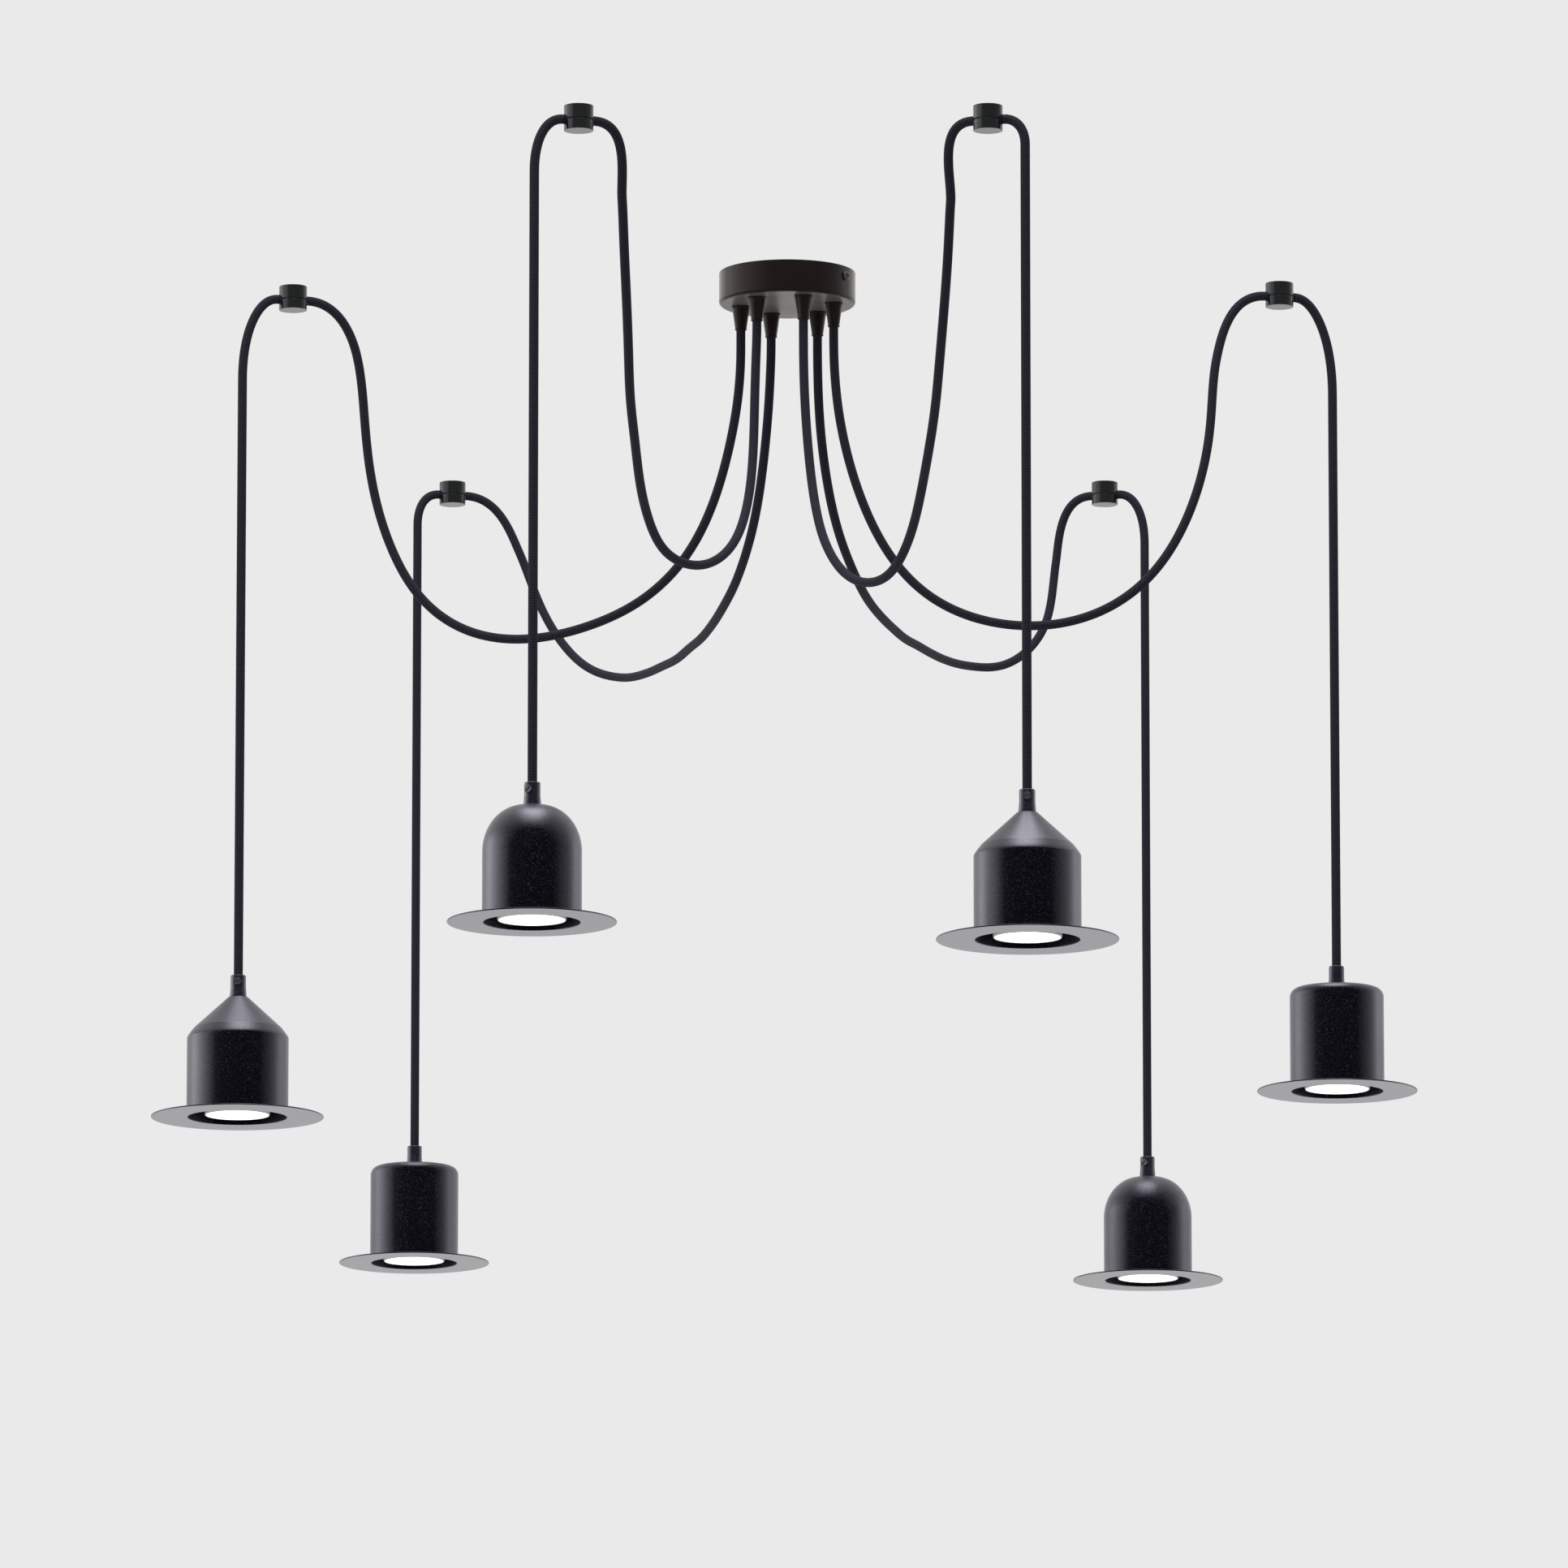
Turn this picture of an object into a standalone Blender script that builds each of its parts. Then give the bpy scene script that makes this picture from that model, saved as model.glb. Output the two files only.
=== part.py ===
"""Multi-light pendant light: one ceiling canopy feeds six textile cords. Each cord swags out to
its own ceiling hook, passes through it, arches over and drops to a metal hat-shaped shade.

Metres, +Z up. The ceiling is the plane z = 0, the canopy's centre is the origin, and the side
that is looked at faces -Y. Every size below is a real size of the object.
"""

import math

import bmesh
import bpy
from mathutils import Matrix, Vector

MM = 0.001

# Air between two pieces that touch in the real object, and round a cord in its hole.
SEAT_GAP = 0.3 * MM
SEAM_GAP = 0.5 * MM
ON_AXIS = 0.003 * MM

CORD_RADIUS = 3.5 * MM
CORD_HOLE_RADIUS = 3.8 * MM

# The canopy: a round cup that covers the bracket and the wiring.
CANOPY_RADIUS = 52.5 * MM
CANOPY_HEIGHT = 25.0 * MM
CANOPY_WALL = 1.2 * MM
CANOPY_EDGE_RADIUS = 3.0 * MM

# The ceiling bracket: a flat bar with an ear turned down at each end for a side screw.
BRACKET_TURN = math.radians(-32.0)
BRACKET_HALF_LENGTH = 50.2 * MM
BRACKET_WIDTH = 20.0 * MM
BRACKET_THICKNESS = 1.6 * MM
EAR_WIDTH = 13.0 * MM
EAR_HEIGHT = 15.0 * MM
BRACKET_SLOT_CENTRE = 28.0 * MM
BRACKET_SLOT_LENGTH = 14.0 * MM
BRACKET_SLOT_WIDTH = 4.6 * MM
BRACKET_CLIP_START_SHARE = 0.94
BRACKET_CLIP_END_SHARE = 1.1
BRACKET_CLIP_WIDTH_SHARE = 1.2
SIDE_SCREW_DROP = 8.0 * MM
SIDE_SCREW_RADIUS = 1.9 * MM
SIDE_SCREW_LENGTH = 8.0 * MM
SIDE_SCREW_HEAD_RADIUS = 3.6 * MM
SIDE_SCREW_HEAD_HEIGHT = 2.0 * MM
SIDE_SCREW_CROWN_SHARE = 0.6
SIDE_SCREW_ROUND_SHARE = 0.88
CROSS_ARM_SHARE = 0.52
CROSS_BLADE_SHARE = 0.13
CROSS_DEPTH_SHARE = 0.6

# The terminal block hangs under the middle of the bracket on its two moulded pegs.
BLOCK_LENGTH = 30.0 * MM
BLOCK_WIDTH = 16.0 * MM
BLOCK_HEIGHT = 12.0 * MM
BLOCK_WEB_HEIGHT = 5.0 * MM
BLOCK_PITCH = 10.0 * MM
BLOCK_BARREL_WIDTH = 7.0 * MM
BLOCK_WIRE_HOLE_RADIUS = 1.6 * MM
BLOCK_WELL_RADIUS = 1.9 * MM
BLOCK_WELL_DEPTH = 3.5 * MM
BLOCK_WIRE_HEIGHT = 4.55 * MM
BLOCK_WELL_SPACING = 8.0 * MM
BLOCK_PEG_RADIUS = 1.1 * MM
BLOCK_PEG_HOLE_RADIUS = 1.4 * MM

# The cord grips: six moulded cones on the canopy's floor, each held by a nut inside.
GRIP_CIRCLE_RADIUS = 36.25 * MM
GRIP_ANGLES = (230.0, 290.0, 170.0, 350.0, 110.0, 50.0)
GRIP_LENGTH = 18.4 * MM
GRIP_FLANGE_RADIUS = 7.1 * MM
GRIP_FLANGE_HEIGHT = 0.9 * MM
GRIP_BASE_RADIUS = 6.6 * MM
GRIP_MOUTH_RADIUS = 4.7 * MM
GRIP_LIP_HEIGHT = 0.8 * MM
GRIP_LIP_STEP = 0.35 * MM
GRIP_STEM_RADIUS = 5.0 * MM
GRIP_STEM_LENGTH = 6.0 * MM
GRIP_HOLE_RADIUS = 5.3 * MM
NUT_RADIUS = 7.6 * MM
NUT_HEIGHT = 3.0 * MM
CORD_TAIL = 1.5 * MM
CORD_LEAD = 3.0 * MM

# The ceiling hooks: a round base and its cap, pressed together round the cord.
HOOK_RADIUS = 10.8 * MM
HOOK_BASE_HEIGHT = 10.5 * MM
HOOK_CAP_HEIGHT = 8.0 * MM
HOOK_EDGE = 0.7 * MM
HOOK_SCREW_HOLE_RADIUS = 2.2 * MM
HOOK_SINK_RADIUS = 3.5 * MM
HOOK_SINK_DEPTH = 2.0 * MM
HOOK_SEAM_RADIUS = 9.6 * MM

# The arch of a cord beside its hook, and the play at the top of the straight drop.
ARCH_TIGHT_RADIUS = 14.0 * MM
ARCH_OPENING_POWER = 4
ARCH_STEPS = 9
ARCH_LEAD = 1.2 * MM
DROP_GAP = 0.7 * MM

# The cord clamp on top of each shade: a collar with a slotted screw, and its threaded stem.
COLLAR_HEIGHT = 17.0 * MM
COLLAR_RADIUS = 5.9 * MM
COLLAR_FOOT_RADIUS = 6.5 * MM
COLLAR_ROUNDING = 1.4 * MM
COLLAR_WAIST_SHARE = 0.45
STEM_RADIUS = 4.8 * MM
STEM_LENGTH = 9.0 * MM
CLAMP_SCREW_DROP = 5.4 * MM
CLAMP_SCREW_HEAD_RADIUS = 2.9 * MM
CLAMP_SCREW_HEAD_HEIGHT = 1.5 * MM
CLAMP_SCREW_SHANK_RADIUS = 1.5 * MM
CLAMP_SCREW_SEAT = 4.8 * MM
CLAMP_SLOT_WIDTH = 0.9 * MM
CLAMP_SLOT_DEPTH = 0.8 * MM
CLAMP_SLOT_TILT = {"dome": 45.0, "cone": 4.0, "drum": 20.0}

# The shades: spun metal hats, with a crown and a flat brim.
SHADE_WALL = 1.0 * MM
BRIM_THICKNESS = 1.0 * MM
BRIM_ROOT_RADIUS = 1.6 * MM
SHADE_HOLE_RADIUS = 5.1 * MM
DOME_BRIM_RADIUS = 61.3 * MM
DOME_CROWN_RADIUS = 36.0 * MM
DOME_HEIGHT = 85.5 * MM
DOME_ROUND_HEIGHT = 33.5 * MM
DOME_LAND_RADIUS = 7.2 * MM
CONE_BRIM_RADIUS = 66.0 * MM
CONE_CROWN_RADIUS = 38.9 * MM
CONE_HEIGHT = 93.0 * MM
CONE_LAND_RADIUS = 7.6 * MM
CONE_CREASE_RADIUS = 33.6 * MM
CONE_CREASE_DROP = 24.0 * MM
CONE_SHOULDER_DROP = 32.0 * MM
CONE_SHOULDER_POWER = 1.4
DRUM_BRIM_RADIUS = 61.3 * MM
DRUM_CROWN_RADIUS = 36.0 * MM
DRUM_HEIGHT = 80.0 * MM
DRUM_EDGE_RADIUS = 7.0 * MM

# The lamp inside each shade: its face, reflector body, neck and two pins.
BULB_RECESS = 1.6 * MM
BULB_FACE_RADIUS = 24.5 * MM
BULB_RADIUS = 25.0 * MM
BULB_RIM_HEIGHT = 1.2 * MM
BULB_SKIRT_HEIGHT = 8.0 * MM
BULB_WAIST_HEIGHT = 24.0 * MM
BULB_WAIST_RADIUS = 19.0 * MM
BULB_NECK_HEIGHT = 36.0 * MM
BULB_NECK_RADIUS = 12.5 * MM
BULB_LENGTH = 46.0 * MM
PIN_CIRCLE_RADIUS = 5.0 * MM
PIN_SHAFT_RADIUS = 1.3 * MM
PIN_SHAFT_LENGTH = 3.6 * MM
PIN_HEAD_RADIUS = 2.4 * MM
PIN_HEAD_HEIGHT = 2.8 * MM

# The lamp holder: a ceramic body with two bayonet slots, and a boss that the stem goes into.
HOLDER_RADIUS = 14.0 * MM
HOLDER_HEIGHT = 20.0 * MM
HOLDER_EDGE = 1.2 * MM
HOLDER_SHOULDER = 2.5 * MM
BOSS_RADIUS = 8.2 * MM
BOSS_TOP_RADIUS = 6.6 * MM
BOSS_TAPER = 3.0 * MM
BOSS_BORE_RADIUS = 5.1 * MM
SLOT_FLOOR = 2.6 * MM
SLOT_DEPTH = 7.6 * MM
SLOT_HALF_WIDTH = 1.7 * MM
CHAMBER_HALF_WIDTH = 2.8 * MM
TWIST_ANGLE = 25.0
TWIST_PLAY = 4.0

# How many flats go round a piece.
SCREW_STEPS = 8
HOLDER_STEPS = 12
ROUND_STEPS = 14
HOOK_STEPS = 20
SHADE_STEPS = 28
OUTSIDE_STEPS = 6
INSIDE_STEPS = 3
CANOPY_STEPS = 44

# The main sizes: how far the hooks spread over the ceiling, and how far down the lamps hang.
HOOK_SPREAD_ACROSS = 382.0 * MM
HOOK_SPREAD_ALONG = 821.0 * MM
LAMP_FALL = 565.0 * MM

# Each lamp: the hat's form, its hook's place as shares of the two spreads, which way its cord
# drops, how far out the drop hangs, how far down the collar's top is as a share of the fall,
# and which way its clamp screw faces.
LAMPS = (
    ("dome", (-0.3979, -0.7016), 195.0, 33.2 * MM, 0.8885, 242.0),
    ("cone", (0.3822, -0.7016), 345.0, 27.9 * MM, 0.8973, 268.0),
    ("cone", (-1.0000, 0.0609), 195.0, 39.6 * MM, 0.9575, 266.0),
    ("drum", (0.9948, 0.0463), 15.0, 42.3 * MM, 0.9425, 90.0),
    ("drum", (-0.7251, 1.0000), 195.0, 29.6 * MM, 0.9850, 100.0),
    ("dome", (0.6885, 1.0000), 345.0, 33.8 * MM, 1.0009, 242.0),
)

# The swag of each cord, from under its grip to beside its hook. Each point is a share of the
# spread across, a share of the spread along, and how far down it is as a share of the fall.
SWAG_SHARES = (
    (
        (-0.065, -0.043, 0.172), (-0.068, -0.063, 0.262), (-0.079, -0.096, 0.345), (-0.110, -0.139, 0.418),
        (-0.170, -0.186, 0.458), (-0.238, -0.242, 0.457), (-0.272, -0.303, 0.427), (-0.288, -0.367, 0.395),
        (-0.296, -0.429, 0.359), (-0.304, -0.488, 0.320), (-0.306, -0.546, 0.274), (-0.309, -0.597, 0.218),
        (-0.314, -0.642, 0.150), (-0.319, -0.671, 0.090), (-0.332, -0.688, 0.046),
    ),
    (
        (0.034, -0.050, 0.173), (0.042, -0.071, 0.264), (0.055, -0.102, 0.347), (0.079, -0.145, 0.421),
        (0.128, -0.192, 0.478), (0.194, -0.248, 0.492), (0.236, -0.308, 0.460), (0.257, -0.370, 0.423),
        (0.272, -0.431, 0.382), (0.285, -0.491, 0.338), (0.293, -0.547, 0.288), (0.301, -0.598, 0.230),
        (0.309, -0.642, 0.159), (0.314, -0.671, 0.096), (0.327, -0.688, 0.050),
    ),
    (
        (-0.097, 0.010, 0.159), (-0.118, 0.016, 0.239), (-0.152, 0.024, 0.317), (-0.209, 0.035, 0.388),
        (-0.296, 0.046, 0.442), (-0.403, 0.058, 0.473), (-0.521, 0.068, 0.488), (-0.639, 0.078, 0.476),
        (-0.736, 0.085, 0.430), (-0.798, 0.089, 0.359), (-0.835, 0.091, 0.281), (-0.853, 0.090, 0.202),
        (-0.864, 0.084, 0.120), (-0.887, 0.076, 0.058), (-0.919, 0.071, 0.027),
    ),
    (
        (0.097, -0.007, 0.158), (0.115, -0.007, 0.237), (0.149, -0.006, 0.315), (0.202, -0.004, 0.388),
        (0.280, -0.002, 0.446), (0.387, -0.001, 0.480), (0.505, 0.001, 0.488), (0.620, 0.002, 0.471),
        (0.720, 0.005, 0.425), (0.788, 0.007, 0.359), (0.830, 0.012, 0.285), (0.853, 0.018, 0.205),
        (0.861, 0.026, 0.127), (0.887, 0.033, 0.064), (0.919, 0.038, 0.030),
    ),
    (
        (-0.042, 0.058, 0.204), (-0.065, 0.101, 0.310), (-0.099, 0.163, 0.373), (-0.131, 0.240, 0.396),
        (-0.154, 0.329, 0.396), (-0.178, 0.426, 0.389), (-0.204, 0.529, 0.375), (-0.233, 0.632, 0.363),
        (-0.267, 0.731, 0.347), (-0.306, 0.822, 0.333), (-0.361, 0.899, 0.317), (-0.445, 0.959, 0.280),
        (-0.524, 0.995, 0.200), (-0.571, 1.010, 0.117), (-0.613, 1.012, 0.057), (-0.652, 1.009, 0.028),
    ),
    (
        (0.068, 0.051, 0.209), (0.097, 0.094, 0.317), (0.139, 0.155, 0.377), (0.168, 0.233, 0.391),
        (0.196, 0.322, 0.389), (0.220, 0.420, 0.377), (0.246, 0.523, 0.363), (0.275, 0.626, 0.345),
        (0.306, 0.726, 0.329), (0.343, 0.817, 0.315), (0.395, 0.896, 0.301), (0.479, 0.957, 0.281),
        (0.558, 0.995, 0.218), (0.579, 1.010, 0.135), (0.597, 1.012, 0.067), (0.623, 1.009, 0.032),
    ),
)
SWAG_SPAN_STEPS = 2


def clear_scene():
    """Empty the file of objects."""
    for scene_object in list(bpy.data.objects):
        bpy.data.objects.remove(scene_object)


def make_material(name, colour, roughness, metallic):
    """Return a material with this colour, roughness and metallic value."""
    surface = bpy.data.materials.new(name)
    surface.use_nodes = True
    shader = surface.node_tree.nodes["Principled BSDF"]
    shader.inputs["Base Color"].default_value = (*colour, 1.0)
    shader.inputs["Roughness"].default_value = roughness
    shader.inputs["Metallic"].default_value = metallic
    surface.diffuse_color = (*colour, 1.0)
    return surface


def make_empty(name, location, turn=0.0, parent=None):
    """Return an empty that carries other pieces; turn is about its own vertical."""
    carrier = bpy.data.objects.new(name, None)
    carrier.empty_display_size = HOOK_RADIUS
    carrier.location = location
    carrier.rotation_euler = (0.0, 0.0, turn)
    carrier.parent = parent
    bpy.context.scene.collection.objects.link(carrier)
    return carrier


def place(bm, name, surface=None, parent=None, location=(0.0, 0.0, 0.0), turn=0.0, smooth=True):
    """Turn a bmesh into an object, with its sides shaded round or flat."""
    bmesh.ops.recalc_face_normals(bm, faces=bm.faces)
    mesh = bpy.data.meshes.new(name)
    bm.to_mesh(mesh)
    bm.free()
    piece = bpy.data.objects.new(name, mesh)
    bpy.context.scene.collection.objects.link(piece)
    piece.parent = parent
    piece.location = location
    piece.rotation_euler = (0.0, 0.0, turn)
    if surface is not None:
        mesh.materials.append(surface)
    if smooth:
        mesh.shade_smooth()
        mesh.set_sharp_from_angle(angle=math.radians(38.0))
    return piece


def add_cutter(bm, name, parent=None, location=(0.0, 0.0, 0.0), turn=0.0):
    """Turn a bmesh into a hidden cutting body."""
    cutter = place(bm, name, None, parent, location, turn, smooth=False)
    cutter.hide_render = True
    cutter.display_type = "WIRE"
    return cutter


def cut(piece, cutter):
    """Take the cutter's shape out of a piece."""
    difference = piece.modifiers.new("cut", "BOOLEAN")
    difference.operation = "DIFFERENCE"
    difference.solver = "EXACT"
    difference.object = cutter


def weld(piece, addition):
    """Join another body's shape to a piece."""
    union = piece.modifiers.new("weld", "BOOLEAN")
    union.operation = "UNION"
    union.solver = "EXACT"
    union.object = addition


def revolve(bm, profile, steps, matrix=None):
    """Turn a profile of (radius, height) points about the vertical; ends off the axis are joined."""
    rings = []
    for radius, height in profile:
        count = 1 if radius < ON_AXIS else steps
        ring = []
        for step in range(count):
            angle = math.tau * step / steps
            point = Vector((radius * math.cos(angle), radius * math.sin(angle), height))
            if matrix is not None:
                point = matrix @ point
            ring.append(bm.verts.new(point))
        rings.append(ring)
    pairs = list(zip(rings, rings[1:]))
    if len(rings[0]) > 1 and len(rings[-1]) > 1:
        pairs.append((rings[-1], rings[0]))
    for upper, lower in pairs:
        for step in range(steps):
            after = (step + 1) % steps
            corners = [upper[step % len(upper)], lower[step % len(lower)]]
            if len(lower) > 1:
                corners.append(lower[after])
            if len(upper) > 1:
                corners.append(upper[after])
            bm.faces.new(corners)


def disc_body(bm, profile, steps, matrix=None):
    """A solid of revolution whose flat top and bottom are one face each."""
    rings = []
    for radius, height in profile:
        ring = []
        for step in range(steps):
            angle = math.tau * step / steps
            point = Vector((radius * math.cos(angle), radius * math.sin(angle), height))
            if matrix is not None:
                point = matrix @ point
            ring.append(bm.verts.new(point))
        rings.append(ring)
    for upper, lower in zip(rings, rings[1:]):
        for step in range(steps):
            after = (step + 1) % steps
            bm.faces.new((upper[step], lower[step], lower[after], upper[after]))
    bm.faces.new(rings[0])
    bm.faces.new(reversed(rings[-1]))


def add_box(bm, low, high, matrix=None):
    """A box between two corners."""
    corners = []
    for x in (low[0], high[0]):
        for y in (low[1], high[1]):
            for z in (low[2], high[2]):
                point = Vector((x, y, z))
                if matrix is not None:
                    point = matrix @ point
                corners.append(bm.verts.new(point))
    for side in ((0, 1, 3, 2), (4, 6, 7, 5), (0, 4, 5, 1), (2, 3, 7, 6), (0, 2, 6, 4), (1, 5, 7, 3)):
        bm.faces.new([corners[index] for index in side])


def add_prism(bm, outline, low, high, matrix=None):
    """A flat outline of (x, y) points carried from one height to another."""
    floor = []
    roof = []
    for x, y in outline:
        for height, layer in ((low, floor), (high, roof)):
            point = Vector((x, y, height))
            if matrix is not None:
                point = matrix @ point
            layer.append(bm.verts.new(point))
    bm.faces.new(reversed(floor))
    bm.faces.new(roof)
    count = len(outline)
    for index in range(count):
        after = (index + 1) % count
        bm.faces.new((floor[index], floor[after], roof[after], roof[index]))


def quarter_arc(centre, radii, steps):
    """Points from above the centre round to beside it, on a quarter of an ellipse."""
    points = []
    for step in range(steps + 1):
        angle = math.radians(90.0) * step / steps
        radius = centre[0] + radii[0] * math.sin(angle)
        height = centre[1] + radii[1] * math.cos(angle)
        points.append((radius, height))
    return points


def slot_outline(radius, half_width, start_deg, end_deg, steps=2):
    """The outline of a curved slot with round ends, on a circle about the middle."""
    points = []
    for step in range(steps + 1):
        angle = math.radians(start_deg + (end_deg - start_deg) * step / steps)
        points.append(((radius + half_width) * math.cos(angle), (radius + half_width) * math.sin(angle)))
    points += slot_end(radius, half_width, math.radians(end_deg), math.radians(end_deg))
    for step in range(steps + 1):
        angle = math.radians(end_deg + (start_deg - end_deg) * step / steps)
        points.append(((radius - half_width) * math.cos(angle), (radius - half_width) * math.sin(angle)))
    points += slot_end(radius, half_width, math.radians(start_deg), math.radians(start_deg) + math.pi)
    return points


def slot_end(radius, half_width, place_angle, first_angle, steps=3):
    """The inner points of a half circle that closes a curved slot."""
    centre = (radius * math.cos(place_angle), radius * math.sin(place_angle))
    points = []
    for step in range(1, steps):
        angle = first_angle + math.pi * step / steps
        points.append((centre[0] + half_width * math.cos(angle), centre[1] + half_width * math.sin(angle)))
    return points


def cord(name, points, surface, parent=None, sides_resolution=2):
    """A round cord along points, closed at both ends."""
    line = bpy.data.curves.new(name, "CURVE")
    line.dimensions = "3D"
    line.twist_mode = "MINIMUM"
    line.bevel_depth = CORD_RADIUS
    line.bevel_resolution = sides_resolution
    line.use_fill_caps = True
    spline = line.splines.new("POLY")
    spline.points.add(len(points) - 1)
    for spline_point, point in zip(spline.points, points):
        spline_point.co = (*point, 1.0)
    spline.use_smooth = True
    line.materials.append(surface)
    piece = bpy.data.objects.new(name, line)
    bpy.context.scene.collection.objects.link(piece)
    piece.parent = parent
    return piece


def smooth_through(points, first_direction, last_direction, steps):
    """Points on a smooth curve that passes through every route point and leaves in set directions."""
    route = [Vector(point) for point in points]
    last = len(route) - 1
    result = [route[0]]
    for index in range(last):
        start = route[index]
        end = route[index + 1]
        span = (end - start).length
        if index == 0:
            leave = first_direction * span
        else:
            leave = (end - route[index - 1]) * span / ((start - route[index - 1]).length + span)
        if index + 1 == last:
            arrive = last_direction * span
        else:
            after = route[index + 2]
            arrive = (after - start) * span / ((after - end).length + span)
        for step in range(1, steps + 1):
            t = step / steps
            point = start * (2 * t ** 3 - 3 * t ** 2 + 1) + leave * (t ** 3 - 2 * t ** 2 + t)
            point += end * (3 * t ** 2 - 2 * t ** 3) + arrive * (t ** 3 - t ** 2)
            result.append(point)
    return result


def grip_place(number):
    """The plan position of one cord grip."""
    angle = math.radians(GRIP_ANGLES[number])
    return Vector((GRIP_CIRCLE_RADIUS * math.cos(angle), GRIP_CIRCLE_RADIUS * math.sin(angle), 0.0))


def hook_place(number):
    """The place of one ceiling hook."""
    across_share, along_share = LAMPS[number][1]
    return Vector((across_share * HOOK_SPREAD_ACROSS, along_share * HOOK_SPREAD_ALONG, 0.0))


def make_canopy(surface):
    """The canopy cup, with a hole for each grip and for each side screw."""
    inner_radius = CANOPY_RADIUS - CANOPY_WALL
    inner_edge = CANOPY_EDGE_RADIUS - CANOPY_WALL
    floor = -CANOPY_HEIGHT + CANOPY_WALL
    outside = [(CANOPY_RADIUS, -SEAT_GAP)]
    for radius, height in quarter_arc((CANOPY_RADIUS - CANOPY_EDGE_RADIUS, 0.0),
                                      (CANOPY_EDGE_RADIUS, CANOPY_EDGE_RADIUS), 4)[::-1]:
        outside.append((radius, -CANOPY_HEIGHT + CANOPY_EDGE_RADIUS - height))
    inside = []
    for radius, height in quarter_arc((inner_radius - inner_edge, 0.0), (inner_edge, inner_edge), 2):
        inside.append((radius, floor + inner_edge - height))
    profile = outside + [(0.0, -CANOPY_HEIGHT)]
    back = [(0.0, floor)] + inside + [(inner_radius, -SEAT_GAP)]
    bm = bmesh.new()
    revolve_shell(bm, profile, back, CANOPY_STEPS)
    canopy = place(bm, "canopy_cup", surface)
    holes = bmesh.new()
    for number in range(len(LAMPS)):
        shift = Matrix.Translation(grip_place(number))
        reach = ((GRIP_HOLE_RADIUS, floor + CANOPY_WALL), (GRIP_HOLE_RADIUS, -CANOPY_HEIGHT - CANOPY_WALL))
        disc_body(holes, reach, ROUND_STEPS, shift)
    for side in (0.0, math.pi):
        aim = Matrix.Rotation(BRACKET_TURN + side, 4, "Z") @ Matrix.Translation((0.0, 0.0, -SIDE_SCREW_DROP))
        aim = aim @ Matrix.Rotation(math.radians(90.0), 4, "Y")
        hole = SIDE_SCREW_RADIUS + SEAT_GAP
        reach = ((hole, CANOPY_RADIUS + CANOPY_WALL), (hole, inner_radius - CANOPY_WALL))
        disc_body(holes, reach, SCREW_STEPS, aim)
    cut(canopy, add_cutter(holes, "cutter_canopy_holes"))
    return canopy


def revolve_shell(bm, outside, inside, steps):
    """A cup: its outside goes down to the middle, its inside comes back up from the middle."""
    layers = []
    for profile in (outside, inside):
        rings = []
        for radius, height in profile:
            if radius < ON_AXIS:
                continue
            ring = []
            for step in range(steps):
                angle = math.tau * step / steps
                ring.append(bm.verts.new((radius * math.cos(angle), radius * math.sin(angle), height)))
            rings.append(ring)
        layers.append(rings)
    outer, inner = layers
    for rings in (outer, inner):
        for upper, lower in zip(rings, rings[1:]):
            for step in range(steps):
                after = (step + 1) % steps
                bm.faces.new((upper[step], lower[step], lower[after], upper[after]))
    bm.faces.new(outer[-1])
    bm.faces.new(inner[0])
    for step in range(steps):
        after = (step + 1) % steps
        bm.faces.new((inner[-1][step], outer[0][step], outer[0][after], inner[-1][after]))


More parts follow.
